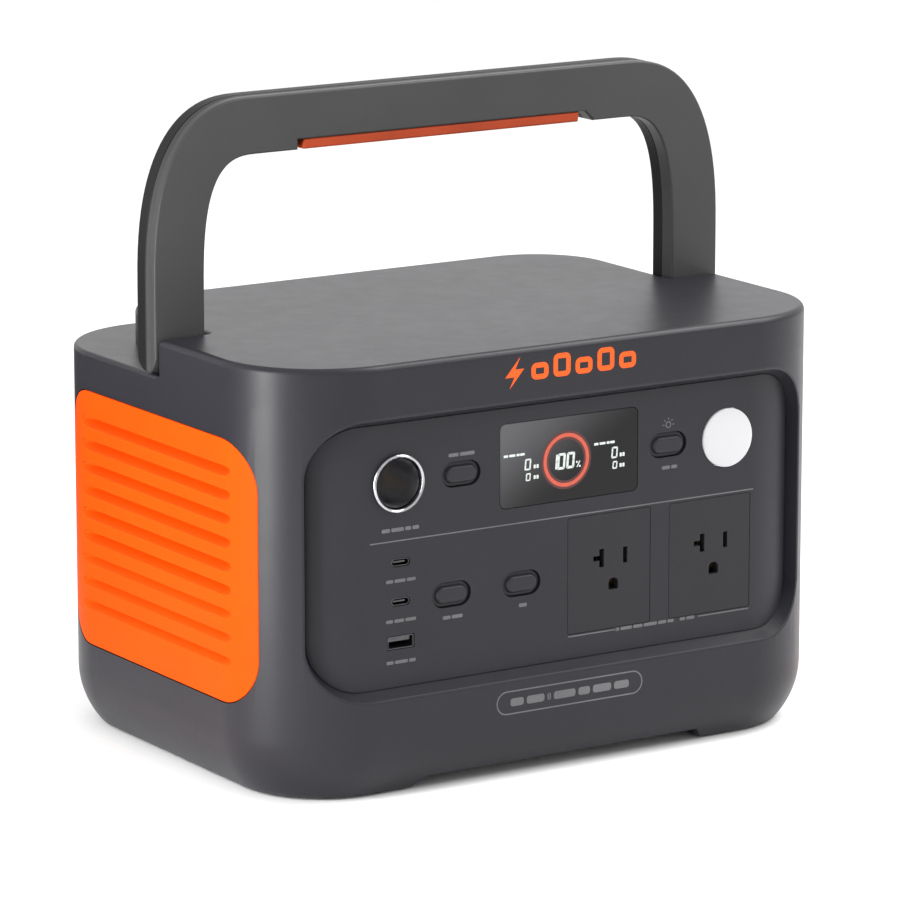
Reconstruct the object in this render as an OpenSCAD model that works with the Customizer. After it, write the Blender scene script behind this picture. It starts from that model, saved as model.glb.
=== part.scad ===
// Portable power station with a folding carry handle.
// Millimetres. The origin is the centre of the footprint, on the surface it stands on.
// +Z is up, the control panel faces -Y and +X is to the right of a person facing the panel.

/* [Body] */
// Width across the side walls
body_w = 300; // [296:1:304]
// Depth from the front face to the rear face
body_d = 219; // [217:1:222]
// Height of the top face
body_h = 194; // [193:0.5:196]
// Radius of the four upright corners
corner_r = 50; // [48:0.5:52]
// Radius where the walls turn under
base_r = 40; // [38:0.5:42]
// Height at which the walls start to turn under
base_turn_z = 28; // [27:0.5:29]
// Thickness of the moulded walls
wall = 3; // [2.8:0.1:3.2]
// Clear height under the body between its two foot rails
foot_h = 5.5; // [5:0.5:6]
// Width of the space between the foot rails
foot_gap = 156; // [150:2:160]

/* [Carry handle] */
// Width of each arm seen from the front
arm_w = 25.4; // [25:0.1:26]
// Thickness of the handle from front to back
handle_t = 16.5; // [15.5:0.5:17]
// Height of the handle's top when it stands up
handle_top = 297.3; // [296:0.1:299]
// Height of the grip bar seen from the front
bar_h = 25.7; // [25:0.1:27]
// Length of the bar that the handle's outer corner curve takes up
bow_w = 51; // [50:1:52]
// Height of the handle's outer corner curve
bow_h = 82; // [80:1:84]
// Height of the hinge axis
pivot_z = 186; // [185:0.5:187]
// Distance of the hinge axis behind the body's centre
pivot_y = 3.5; // [3:0.5:4]
// Diameter of the hinge pins
pin_d = 8; // [7:0.5:9]
// Length of the orange grip pad
grip_l = 150; // [140:2:156]

/* [Control panel] */
// Width of the recess that holds the control panel
recess_w = 256; // [254:1:258]
// Lower edge of the recess
recess_z0 = 48.6; // [48:0.1:49]
// Upper edge of the recess
recess_z1 = 166.8; // [166:0.1:168]
// Corner radius of the recess
recess_r = 22; // [20:1:24]
// Depth of the panel face behind the front face
recess_depth = 6.5; // [6:0.5:7]
// Thickness of the panel plate
panel_t = 3; // [2.5:0.5:3]
// Travel of the four push buttons
button_travel = 0.8; // [0.5:0.1:1]

/* [Side vents] */
// Length of a vent grille along the side
vent_l = 163; // [160:1:166]
// Lower edge of the vent grilles
vent_z0 = 41.5; // [41:0.1:44]
// Upper edge of the vent grilles
vent_z1 = 159.4; // [158:0.1:162]
// Corner radius of the vent grilles
vent_r = 22; // [20:1:24]
// Number of louvre slots in a grille
louvres = 9; // [8:1:10]

/* [Battery] */
// Diameter of one battery cell
cell_d = 33.4; // [33:0.1:33.6]
// Length of one battery cell
cell_l = 140; // [138:1:141]
// Columns of cells across the body
cell_cols = 7; // [5:1:7]

/* [Hidden] */

$fn = 64;
eps = 0.01;

// Colours
graphite = "#3f3e43";
panel_grey = "#3a393e";
orange = "#ff5e08";
black = "#1c1c1e";
steel = "#c9cacc";
brass = "#c8a24a";
board_green = "#1f5b3a";
cell_blue = "#2c5a8c";

// Body planes
floor_gap = 0.8;
under_z = floor_gap + foot_h;
base_t = 3;
flange_z = under_z + base_t;
blend_z = 40;
base_size = [262, 181];
base_opening = [236, 154];
base_screw_at = [for (x = [-1, 1], y = [-68, 0, 68]) [x*124.5, y]];
foot_at = [for (x = [-1, 1], y = [-1, 1]) [x*100, y*60]];
foot_r = 14;
ledge_z = pivot_z - handle_t/2 - 0.55;
notch_y = pivot_y - handle_t/2 - 0.85;

// Handle and plateau; the folded handle lies on the ledge round the plateau
plateau_w = body_w - 2*arm_w;
hinge_gap = 1;
arm_x0 = plateau_w/2 + hinge_gap;
arm_x1 = arm_x0 + arm_w;
bar_z = handle_top - bar_h;
plateau_y = pivot_y + bar_z - pivot_z - 0.7;
inner_bow = [28, 62];
plateau_r = 38;
seam_y = pivot_y;
handle_y0 = pivot_y - handle_t/2;
handle_y1 = pivot_y + handle_t/2;
grip_h = 4.6;
bushing_r = pin_d/2 + 3;
running_fit = 0.05;
bracket_w = 18;
bracket_l = 40;
clip_r = 4.9;
arm_screws = [for (x = [-1, 1], z = [215, 250]) [x*(arm_x0 + arm_w/2), z]];
bar_screws = [for (x = [-1, 1]) [x*50, handle_top - 9]];
handle_screw_at = concat(arm_screws, bar_screws);

// Panel planes and the places of what it carries, as [x, z]
panel_y = -body_d/2 + recess_depth;
panel_back = panel_y + panel_t;
recess_end_y = -body_d/2 + 30;
lip_t = 2;
socket_at = [-86.7, 139.9];
socket_r = 10.5;
socket_depth = 38;
display_at = [2.6, 140.5];
display_size = [73, 38];
lens_at = [88, 139.8];
lens_r = 13.5;
button_size = [19.5, 10.8];
power_at = [-54.2, 140.2];
light_at = [55.5, 140.3];
dc_usb_at = [-59.2, 86.7];
ac_at = [-22.6, 86.8];
usb_x = -85.3;
usb_c_upper_z = 104.5;
usb_c_lower_z = 86.9;
usb_a_z = 68.7;
outlet_x = [26.6, 81.3];
outlet_z = 88.3;
outlet_plate = [44.4, 53];
outlet_plate_off = [-2.4, -1.9];
slot_gap = 12.7;
slot_dz = 4.4;
earth_dz = -8.1;

// Louvre slots: the lowest ones are blind, the others slope through the grille
louvre_l = 132;
louvre_z0 = 60.2;
louvre_span = 85;
blind_louvres = 3;

// Rear panel
rear_size = [124, 62];
rear_at = [0, 104];
rear_y = body_d/2 - 2;
inlet_at = [-26, 104];
dc_in_at = [32, 104];
inlet_depth = 16;
inlet_pins = [[-7, -1.5], [7, -1.5], [0, 2.5]];
rear_screw_at = [for (x = [-56, 56], z = [79, 129]) [x, z]];

// Battery pack
cell_r = cell_d/2;
cell_pitch = cell_d + 1.2;
cell_z0 = flange_z + 5.5 + cell_r;
cell_y0 = -52;
holder_t = 11;
cell_at = [for (c = [0:cell_cols - 1], row = [0, 1])
    [(c - (cell_cols - 1)/2)*cell_pitch, cell_z0 + row*cell_pitch]];
pack_w = cell_cols*cell_pitch + 6;
pack_z0 = flange_z + base_t + 0.2;
pack_z1 = cell_z0 + cell_pitch + cell_r + 3;
deck_z = pack_z1 + 4;
deck_t = 2.5;
leg_z = flange_z + base_t + 0.1;
board_z = deck_z + deck_t + 5;
board_t = 1.6;
board_y0 = -34;
board_y1 = 80;
lead_r = 2.4;
lead_x = [-cell_pitch, -2*cell_pitch];

// Fans behind the vent grilles
fan_size = 66;
fan_t = 20;
fan_bore_r = 30.5;
fan_hub_r = 11;
fan_blades = 7;
fan_z = 130;
fan_y = 20;
fan_x = body_w/2 - wall - 5 - fan_t;

// ---- Drawing helpers ----

// Rectangle with round corners, centred on the origin
module rounded_rect(w, d, r) {
    square([w - 2*r, d], center = true);
    square([w, d - 2*r], center = true);
    for (x = [-1, 1], y = [-1, 1])
        translate([x*(w/2 - r), y*(d/2 - r)]) circle(r = r);
}

// A pill-shaped outline, wider than it is high
module pill(w, h) {
    square([w - h, h], center = true);
    for (x = [-1, 1]) translate([x*(w - h)/2, 0]) circle(r = h/2);
}

// Stands an outline drawn in X and Z upright, from y0 back to y1
module across_y(y0, y1) {
    translate([0, y1, 0]) rotate([90, 0, 0]) linear_extrude(y1 - y0) children();
}

// Stands an outline drawn in Y and Z upright, from x0 to x1
module across_x(x0, x1) {
    translate([x0, 0, 0]) rotate([90, 0, 90]) linear_extrude(x1 - x0) children();
}

// A cylinder whose axis runs along Y, from y0 to y1, at [x, z]
module rod_y(at, r, y0, y1) {
    translate([at[0], y1, at[1]]) rotate([90, 0, 0]) cylinder(r = r, h = y1 - y0);
}

// A cylinder whose axis runs along X, from x0 to x1
module rod_x(y, z, r, x0, x1) {
    translate([x0, y, z]) rotate([0, 90, 0]) cylinder(r = r, h = x1 - x0);
}

// A centred rectangle in X and Z, from y0 back to y1
module slab_y(at, size, y0, y1) {
    translate([at[0] - size[0]/2, y0, at[1] - size[1]/2]) cube([size[0], y1 - y0, size[1]]);
}

// The same piece on the left and on the right
module both_sides() {
    children();
    mirror([1, 0, 0]) children();
}

// ---- Body shapes ----

// Footprint of the body, drawn in by inset
module body_outline(inset = 0) {
    rounded_rect(body_w - 2*inset, body_d - 2*inset, corner_r - inset);
}

// Raised middle of the top, between the handle's arms
module plateau_outline(inset = 0) {
    half = plateau_w/2 - inset;
    back = plateau_y - inset;
    r = plateau_r - inset;
    front = notch_y - 20;
    translate([-half, front]) square([2*half, back - r - front]);
    translate([r - half, front]) square([2*(half - r), back - front]);
    for (s = [-1, 1]) translate([s*(half - r), back - r]) circle(r = r);
}

// Outline of the top face: full width in front of the arms, plateau behind them
module top_outline(inset = 0) {
    intersection() {
        body_outline(inset);
        translate([-body_w, -body_d]) square([2*body_w, body_d + notch_y - inset]);
    }
    plateau_outline(inset);
}

// Block with upright round corners whose walls turn under below base_turn_z and end at z0
module bowl(inset, z0, z1) {
    r = corner_r - inset;
    turn = base_r - inset;
    steps = 6;
    first = asin((base_turn_z - z0)/turn);
    arc = [for (i = [0:steps]) let (a = first*(1 - i/steps))
        [r - turn + turn*cos(a), base_turn_z - turn*sin(a)]];
    hull()
        for (x = [-1, 1], y = [-1, 1])
            translate([x*(body_w/2 - corner_r), y*(body_d/2 - corner_r), 0])
                rotate_extrude($fn = 48) polygon(concat([[0, z0]], arc, [[r, z1], [0, z1]]));
}

// Space inside the shell above its flange, up to the straight walls
module inner_base() intersection() {
    bowl(wall, floor_gap + wall, blend_z);
    translate([0, 0, flange_z + base_t]) linear_extrude(blend_z) body_outline();
}

// Solid outside of the body, up to the blend between its turned-under base and straight walls
module base_outside() {
    difference() {
        bowl(0, floor_gap, blend_z);
        translate([-foot_gap/2, -body_d, -1]) cube([foot_gap, 2*body_d, under_z + 1]);
    }
}

// Rounded opening in the front face
module recess_outline(grow = 0) {
    translate([0, (recess_z0 + recess_z1)/2])
        rounded_rect(recess_w + 2*grow, recess_z1 - recess_z0 + 2*grow, recess_r + grow);
}

// Layer of the body between two depths below its surface, at the height of the recess
module layer(depth0, depth1) {
    translate([0, 0, blend_z]) linear_extrude(ledge_z - blend_z) difference() {
        body_outline(depth0);
        body_outline(depth1);
    }
}

// Space of the recess: its outline taken down to a constant depth, so the floor follows the corners
module recess_space() {
    intersection() {
        across_y(-body_d/2 - 1, recess_end_y) recess_outline();
        layer(-1, recess_depth + panel_t);
    }
}

// Rounded opening in a side wall
module vent_outline(grow = 0) {
    translate([0, (vent_z0 + vent_z1)/2])
        rounded_rect(vent_l + 2*grow, vent_z1 - vent_z0 + 2*grow, vent_r + grow);
}

// Rounded opening in the rear wall
module rear_outline(grow = 0) {
    translate(rear_at) rounded_rect(rear_size[0] + 2*grow, rear_size[1] + 2*grow, 10 + grow);
}

// ---- Shells and covers ----

module main_shell() color(graphite) {
    difference() {
        union() {
            base_outside();
            translate([0, 0, blend_z]) linear_extrude(ledge_z - blend_z) body_outline();
            translate([0, 0, ledge_z]) linear_extrude(body_h - ledge_z) top_outline();
        }
        inner_base();
        translate([0, 0, blend_z - eps]) linear_extrude(ledge_z - wall - blend_z + eps) body_outline(wall);
        translate([0, 0, ledge_z - wall - eps]) linear_extrude(body_h - ledge_z + eps) top_outline(wall);
        translate([0, 0, -1]) linear_extrude(flange_z + 1) base_plate_outline(0.3);
        translate([0, 0, -1]) linear_extrude(flange_z + base_t + 2)
            rounded_rect(base_opening[0], base_opening[1], 12);
        recess_space();
        across_y(body_d/2 - 6, body_d/2 + 1) rear_outline(0.3);
        across_x(-body_w/2 - 1, 4 - body_w/2 + 14) vent_outline(0.5);
        across_x(body_w/2 - 18, body_w/2 + 1) vent_outline(0.5);
        both_sides() rod_x(pivot_y, pivot_z, pin_d/2 + running_fit, plateau_w/2 - wall - 1, plateau_w/2 + 1);
        for (p = base_screw_at) translate([p[0], p[1], 0]) cylinder(r = 2.2, h = 40);
    }
    panel_frame();
    for (p = base_screw_at) translate([p[0], p[1], flange_z + base_t]) screw_boss(14);
}

// Walls of the front recess and the lip that the panel sits against
module panel_frame() {
    back = recess_depth + panel_t;
    intersection() {
        across_y(-body_d/2 - 1, recess_end_y) difference() {
            recess_outline(wall);
            recess_outline();
        }
        layer(0, back + lip_t);
    }
    intersection() {
        across_y(-body_d/2 - 1, recess_end_y) difference() {
            recess_outline(wall);
            recess_outline(-4);
        }
        layer(back, back + lip_t);
    }
}

module screw_boss(h) difference() {
    cylinder(r = 4.5, h = h);
    translate([0, 0, -1]) cylinder(r = 1.75, h = h + 2);
}

module base_plate_outline(grow = 0) {
    rounded_rect(base_size[0] + 2*grow, base_size[1] + 2*grow, 20 + grow);
}

module base_plate() color(graphite) difference() {
    intersection() {
        base_outside();
        translate([0, 0, floor_gap - 0.5]) linear_extrude(flange_z - floor_gap + 0.5) base_plate_outline();
    }
    for (p = foot_at) translate([p[0], p[1], -1]) cylinder(r = foot_r + 0.2, h = 3.3);
    for (p = base_screw_at) translate([p[0], p[1], -1]) {
        cylinder(r = 1.9, h = 20);
        cylinder(r = 3.8, h = under_z - 0.2 + 1);
    }
    translate([0, 0, under_z + 1]) linear_extrude(base_t) rounded_rect(220, 30, 6);
}

module rubber_feet() color(black)
    for (p = foot_at) translate([p[0], p[1], 0]) {
        cylinder(r = foot_r - 0.8, h = 0.5 + eps);
        translate([0, 0, 0.5]) cylinder(r = foot_r, h = 1.8);
    }

module base_screws() color(steel)
    for (p = base_screw_at) translate([p[0], p[1], 0]) difference() {
        union() {
            translate([0, 0, under_z - 3.2]) cylinder(r = 3.5, h = 3);
            translate([0, 0, under_z - 0.3]) cylinder(r = 1.7, h = 14);
        }
        translate([0, 0, under_z - 3.3]) cylinder(r = 1.6, h = 1.6, $fn = 6);
    }

// Plate that carries the sockets, the buttons and the display; its ends follow the body's corners
module front_panel() color(panel_grey) difference() {
    intersection() {
        across_y(-body_d/2, recess_end_y) recess_outline(-0.3);
        layer(recess_depth, recess_depth + panel_t);
    }
    rod_y(socket_at, 12.2, panel_y - 1, panel_back + 1);
    rod_y(lens_at, lens_r + 0.3, panel_y - 1, panel_back + 1);
    across_y(panel_y - 1, panel_y + 1.7) translate(display_at)
        rounded_rect(display_size[0] + 0.4, display_size[1] + 0.4, 3);
    across_y(panel_y - 1, panel_back + 1) translate(display_at) square(display_size - [5, 5], center = true);
    for (p = [power_at, light_at, dc_usb_at, ac_at])
        across_y(panel_y - 1, panel_back + 1) translate(p) pill(button_size[0] + 0.6, button_size[1] + 0.6);
    for (z = [usb_c_upper_z, usb_c_lower_z])
        across_y(panel_y - 1, panel_back + 1) translate([usb_x, z]) pill(9.6, 3.8);
    slab_y([usb_x, usb_a_z], [14, 6.2], panel_y - 1, panel_back + 1);
    for (x = outlet_x)
        slab_y([x, outlet_z] + outlet_plate_off, outlet_plate + [0.5, 0.5], panel_y - 1, panel_back + 1);
}

module rear_panel() color(panel_grey) difference() {
    across_y(rear_y - 3, rear_y) rear_outline();
    slab_y(inlet_at, [28.4, 20.4], rear_y - 4, rear_y + 1);
    rod_y(dc_in_at, 6.2, rear_y - 4, rear_y + 1);
    for (p = rear_screw_at) {
        rod_y(p, 1.7, rear_y - 4, rear_y + 1);
        rod_y(p, 3.2, rear_y - 1.4, rear_y + 1);
    }
}

module rear_screws() color(steel)
    for (p = rear_screw_at) difference() {
        union() {
            rod_y(p, 3, rear_y - 1.3, rear_y - 0.1);
            rod_y(p, 1.5, rear_y - 8, rear_y - 1.2);
        }
        translate([p[0], rear_y, p[1]]) rotate([90, 0, 0]) cylinder(r = 1.4, h = 1, $fn = 6);
    }

// Curved louvred panel that follows the side wall and the start of both corners
module vent_grille() color(orange) {
    pitch = louvre_span/(louvres - 1);
    difference() {
        intersection() {
            translate([0, 0, vent_z0]) linear_extrude(vent_z1 - vent_z0) difference() {
                body_outline(0.1);
                body_outline(wall);
            }
            across_x(body_w/2 - 30, body_w/2 + 1) vent_outline();
        }
        for (i = [0:louvres - 1])
            translate([body_w/2 - 8, -louvre_l/2, louvre_z0 + i*pitch - 2.6])
                if (i < blind_louvres) translate([6.4, 0, 0]) cube([30, louvre_l, 4.2]);
                else rotate([0, -30, 0]) translate([-8, 0, 0]) cube([30, louvre_l, 3.6]);
    }
    for (y = [-60, -20, 20, 60], z = [vent_z0 + 3.5, vent_z1 - 6.5])
        translate([body_w/2 - wall - 3, y - 4, z]) cube([3.1, 8, 3]);
}

module vent_grille_right() vent_grille();
module vent_grille_left() mirror([1, 0, 0]) vent_grille();

// ---- Carry handle ----

// Upright arch that ends at z0; each upper corner is a superellipse of the given size and power
module arch(half_w, top, corner, power, z0) {
    steps = 18;
    side = [for (i = [0:steps]) let (a = 90*i/steps)
        [half_w - corner[0] + corner[0]*pow(cos(a), 2/power), top - corner[1] + corner[1]*pow(sin(a), 2/power)]];
    other_side = [for (i = [steps:-1:0]) [-side[i][0], side[i][1]]];
    polygon(concat([[half_w, z0]], side, other_side, [[-half_w, z0]]));
}

// Outline of the handle seen from the front, with the notch for the grip pad
module handle_outline() difference() {
    arch(arm_x1, handle_top, [bow_w, bow_h], 2.5, pivot_z);
    arch(arm_x0, bar_z, inner_bow, 3, pivot_z - 1);
    polygon([[-grip_l/2 - 2, bar_z - 1], [-grip_l/2 - 2, bar_z + grip_h - 1], [-grip_l/2 - 1, bar_z + grip_h],
        [grip_l/2 + 1.5, bar_z + grip_h], [grip_l/2 + 6, bar_z], [grip_l/2 + 6, bar_z - 1]]);
}

// Round lower end of one arm, drawn in Y and Z; side is -1 in front of the hinge axis and 1 behind it
module arm_end(side) intersection() {
    translate([pivot_y, pivot_z]) circle(r = handle_t/2);
    translate([side > 0 ? pivot_y : pivot_y - handle_t, pivot_z - handle_t]) square([handle_t, handle_t]);
}

// One half of the handle: an arch with two round ends, hollowed for the hinge bushings
module handle_half(side) difference() {
    union() {
        if (side < 0) across_y(handle_y0, seam_y) handle_outline();
        if (side > 0) across_y(seam_y, handle_y1) handle_outline();
        both_sides() across_x(arm_x0, arm_x1) arm_end(side);
    }
    both_sides() rod_x(pivot_y, pivot_z, bushing_r + running_fit, arm_x0 - 1, arm_x1 - 3);
    for (p = handle_screw_at) rod_y(p, 1.75, seam_y - 5, seam_y + 1);
    for (p = handle_screw_at) rod_y(p, 2, seam_y - eps, handle_y1 + 1);
    for (p = handle_screw_at) rod_y(p, 3.6, handle_y1 - 3.4, handle_y1 + 1);
    slab_y([0, bar_z + grip_h + 1], [grip_l - 20, 3], seam_y - 2.6, seam_y + 2.6);
}

module handle_front_shell() color(graphite) handle_half(-1);
module handle_rear_shell() color(black) handle_half(1);

// Soft pad under the grip bar, keyed up into the slot between the two halves
module handle_grip() color(orange) {
    across_y(handle_y0 + 0.4, handle_y1 - 0.4)
        polygon([[-grip_l/2, bar_z], [grip_l/2 - 2, bar_z], [grip_l/2 - 1.5, bar_z + grip_h - 0.1],
            [-grip_l/2, bar_z + grip_h - 0.1]]);
    slab_y([0, bar_z + grip_h + 1], [grip_l - 20.4, 2.6], seam_y - 2.5, seam_y + 2.5);
}

module handle_screws() color(steel)
    for (p = handle_screw_at) difference() {
        union() {
            rod_y(p, 3.3, handle_y1 - 3.3, handle_y1 - 0.8);
            rod_y(p, 1.7, seam_y - 4.8, handle_y1 - 3);
        }
        translate([p[0], handle_y1, p[1]]) rotate([90, 0, 0]) cylinder(r = 1.6, h = 2.2, $fn = 6);
    }

module hinge_bushings() color(brass) both_sides() difference() {
    rod_x(pivot_y, pivot_z, bushing_r, arm_x0 + 0.2, arm_x1 - 3.2);
    rod_x(pivot_y, pivot_z, pin_d/2 + running_fit, arm_x0 - 1, arm_x1);
}

module hinge_pins() color(steel) both_sides() {
    rod_x(pivot_y, pivot_z, pin_d/2, plateau_w/2 - 17, arm_x1 - 5);
    rod_x(pivot_y, pivot_z, pin_d/2 - 1, plateau_w/2 - 20, plateau_w/2 - 17 + eps);
}

module hinge_washers() color(steel) both_sides() difference() {
    rod_x(pivot_y, pivot_z, bushing_r - 0.5, plateau_w/2 + 0.05, arm_x0 - 0.05);
    rod_x(pivot_y, pivot_z, pin_d/2 + 0.1, plateau_w/2 - 1, arm_x0 + 1);
}

// Steel channel that carries one hinge pin inside the plateau
module hinge_brackets() color(steel) both_sides() difference() {
    outer = plateau_w/2 - wall;
    inner = outer - bracket_w;
    union() {
        for (x = [inner, outer - 3])
            across_x(x, x + 3) translate([pivot_y, pivot_z - 4]) square([bracket_l, 17], center = true);
        across_x(inner, outer) translate([pivot_y, pivot_z - 14]) square([bracket_l, 3], center = true);
    }
    rod_x(pivot_y, pivot_z, pin_d/2 + running_fit, outer - 16, outer + 1);
    rod_x(pivot_y, pivot_z, pin_d/2 - 1 + running_fit, inner - 2, outer - 10);
}

module hinge_clips() color(steel) both_sides() difference() {
    rod_x(pivot_y, pivot_z, clip_r, plateau_w/2 - wall - 5, plateau_w/2 - wall - 3.6);
    rod_x(pivot_y, pivot_z, pin_d/2 + 0.02, plateau_w/2 - wall - 6, plateau_w/2 - wall - 3);
    slab_y([plateau_w/2 - wall - 4, pivot_z], [4, 3], pivot_y - 8, pivot_y);
}

// ---- Display ----

module display_window() color(black)
    across_y(panel_y + 0.1, panel_y + 1.6) translate(display_at)
        rounded_rect(display_size[0], display_size[1], 2.8);

module display_module() color(black)
    slab_y(display_at, display_size - [6, 6], panel_y + 1.8, panel_y + 6);

module display_board() color(board_green) difference() {
    slab_y([0, 143], [142, 42], panel_back + 4.4, panel_back + 6);
    for (x = [-66, 66], z = [127, 159]) rod_y([x, z], 1.6, panel_back + 4, panel_back + 7);
}

// ---- 12 V vehicle-type socket ----

module car_socket_ring() color(steel)
    translate([socket_at[0], panel_y, socket_at[1]]) rotate([90, 0, 0])
        rotate_extrude() polygon([[11.4, -1], [12, -1], [12, 0], [13.25, 0], [13.25, 1], [12.7, 2],
            [11.8, 2], [11.4, 1.5]]);

module car_socket_barrel() color(steel) difference() {
    rod_y(socket_at, socket_r + 0.8, panel_y + 1.2, panel_y + 48);
    rod_y(socket_at, socket_r, panel_y, panel_y + socket_depth);
    rod_y(socket_at, socket_r - 1, panel_y + 30, panel_y + 44);
    rod_y(socket_at, 4, panel_y + 40, panel_y + 50);
}

module car_socket_base() color(black) difference() {
    union() {
        rod_y(socket_at, socket_r - 1.1, panel_y + 41, panel_y + 43.9);
        rod_y(socket_at, 3.9, panel_y + 43.8, panel_y + 54);
    }
    rod_y(socket_at, 2.1, panel_y + 38, panel_y + 55);
}

module car_socket_contact() color(brass) {
    rod_y(socket_at, 2, panel_y + 40, panel_y + 56);
    rod_y(socket_at, 3.4, panel_y + socket_depth + 0.2, panel_y + 40.8);
}

// ---- Buttons and switches ----

// A pill-shaped cap with a flange that keeps it behind the panel
module button(at) color(panel_grey) {
    across_y(panel_y - 0.7, panel_back) translate(at) pill(button_size[0], button_size[1]);
    across_y(panel_back + 0.1, panel_back + 1.2) translate(at) pill(button_size[0] + 3, button_size[1] + 3);
    across_y(panel_back - eps, panel_back + 0.1 + eps) translate(at)
        pill(button_size[0] - 0.5, button_size[1] - 0.5);
}

module power_button() button(power_at);
module light_button() button(light_at);
module dc_usb_button() button(dc_usb_at);
module ac_button() button(ac_at);

module button_switches() color(black)
    for (p = [power_at, light_at, dc_usb_at, ac_at]) {
        slab_y(p, [6, 6], panel_back + 2.9, panel_back + 4.4);
        rod_y(p, 1.6, panel_back + 1.3 + button_travel, panel_back + 3);
    }

// ---- Work light ----

module light_lens() color("#ecebee")
    translate([lens_at[0], panel_y, lens_at[1]]) rotate([90, 0, 0])
        rotate_extrude() polygon([[0, -2], [lens_r, -2], [lens_r, 0.5], [lens_r - 0.9, 1.2], [0, 1.5]]);

module light_reflector() color(steel)
    translate([lens_at[0], panel_y, lens_at[1]]) rotate([90, 0, 0])
        rotate_extrude() polygon([[6, -7.5], [lens_r - 0.6, -2.2], [lens_r + 0.2, -2.2],
            [lens_r + 0.2, -3], [7, -7.8]]);

module light_board() color(board_green) {
    rod_y(lens_at, 13, panel_y + 9.2, panel_y + 10.8);
    for (a = [0:60:300]) translate([lens_at[0] + 3.4*cos(a), panel_y + 8.4, lens_at[1] + 3.4*sin(a)])
        translate([-1, 0, -1]) cube([2, 0.9, 2]);
}

// ---- USB ports ----

// Metal mouth with its contact tongue
module usb_c_port(z) color(steel) {
    difference() {
        across_y(panel_y + 0.8, panel_y + 10) translate([usb_x, z]) pill(9, 3.2);
        across_y(panel_y, panel_y + 8.5) translate([usb_x, z]) pill(8.4, 2.6);
    }
    slab_y([usb_x, z], [6.2, 0.7], panel_y + 2, panel_y + 9);
}

module usb_c_port_upper() usb_c_port(usb_c_upper_z);
module usb_c_port_lower() usb_c_port(usb_c_lower_z);

module usb_a_port() color(steel) {
    difference() {
        slab_y([usb_x, usb_a_z], [13.2, 5.6], panel_y + 0.5, panel_y + 14);
        slab_y([usb_x, usb_a_z], [12.5, 5], panel_y - 1, panel_y + 13);
    }
    slab_y([usb_x, usb_a_z + 1.2], [11, 1.8], panel_y + 2, panel_y + 13.5);
}

module usb_board() color(board_green) difference() {
    slab_y([-56, 86], [96, 54], panel_back + 4.4, panel_back + 6);
    for (z = [usb_c_upper_z, usb_c_lower_z])
        across_y(panel_back + 4, panel_back + 7) translate([usb_x, z]) pill(9.4, 3.6);
    slab_y([usb_x, usb_a_z], [13.8, 6.2], panel_back + 4, panel_back + 7);
}

// ---- Mains outlets: two 20 A flat-blade outlets, earth below ----

// Slots and earth hole of one outlet; grow widens them for the chambers behind
module outlet_slots(grow = 0) {
    translate([slot_gap/2, slot_dz]) square([2 + grow, 7 + grow], center = true);
    translate([-slot_gap/2, slot_dz]) square([2.2 + grow, 8.2 + grow], center = true);
    translate([-slot_gap/2 + 1, slot_dz]) square([6.4 + grow, 2.2 + grow], center = true);
    translate([0, earth_dz]) circle(r = 2.5 + grow/2);
}

module outlet(x) color(black) difference() {
    union() {
        slab_y([x, outlet_z] + outlet_plate_off, outlet_plate, panel_y + 0.05, panel_back + 0.1);
        slab_y([x, outlet_z] + outlet_plate_off, outlet_plate + [2, 2], panel_back + 0.1, panel_back + 2);
        slab_y([x, outlet_z], [34, 28], panel_back, panel_y + 24);
    }
    across_y(panel_y - 1, panel_y + 3) translate([x, outlet_z]) outlet_slots();
    across_y(panel_y + 2.9, panel_y + 22) translate([x, outlet_z]) outlet_slots(2);
    across_y(panel_y + 21, panel_y + 25) translate([x, outlet_z]) contact_outline(0.1);
}

module outlet_left() outlet(outlet_x[0]);
module outlet_right() outlet(outlet_x[1]);

// Sprung contacts of one outlet: two leaves behind each blade slot and a tube behind the earth hole
module contact_outline(grow = 0) {
    for (s = [-1, 1], leaf = [-1, 1])
        translate([s*slot_gap/2 + leaf*1.4, slot_dz]) square([0.5 + 2*grow, 6 + 2*grow], center = true);
    translate([0, earth_dz]) circle(r = 3.2 + grow);
}

module outlet_contacts(x) color(brass) difference() {
    across_y(panel_y + 6, panel_y + 26) translate([x, outlet_z]) contact_outline();
    rod_y([x, outlet_z + earth_dz], 2.6, panel_y + 5, panel_y + 24);
}

module outlet_contacts_left() outlet_contacts(outlet_x[0]);
module outlet_contacts_right() outlet_contacts(outlet_x[1]);

// ---- Charging inputs on the rear ----

// Cavity of the three-pin mains inlet, with its two sloped corners
module inlet_cavity() polygon([[-12, -8.2], [12, -8.2], [12, 4], [8.5, 8.2], [-8.5, 8.2], [-12, 4]]);

module ac_inlet() color(black) difference() {
    union() {
        slab_y(inlet_at, [28, 20], rear_y - inlet_depth - 4, rear_y + 0.4);
        slab_y(inlet_at, [33, 25], rear_y + 0.1, rear_y + 1.2);
    }
    across_y(rear_y - inlet_depth, rear_y + 2) translate(inlet_at) inlet_cavity();
    for (p = inlet_pins) slab_y(inlet_at + p, [2.1, 4.1], rear_y - inlet_depth - 5, rear_y);
}

module ac_inlet_pins() color(steel)
    for (p = inlet_pins) slab_y(inlet_at + p, [2, 4], rear_y - inlet_depth - 8, rear_y - 2);

module dc_input_socket() color(black) {
    difference() {
        union() {
            rod_y(dc_in_at, 6, rear_y - 16, rear_y);
            rod_y(dc_in_at, 8, rear_y + 0.1, rear_y + 1.2);
            rod_y(dc_in_at, 5.9, rear_y - eps, rear_y + 0.2);
        }
        rod_y(dc_in_at, 4, rear_y - 12, rear_y + 2);
    }
    rod_y(dc_in_at, 0.5, rear_y - 13, rear_y - 2);
}

// ---- Battery pack ----

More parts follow.
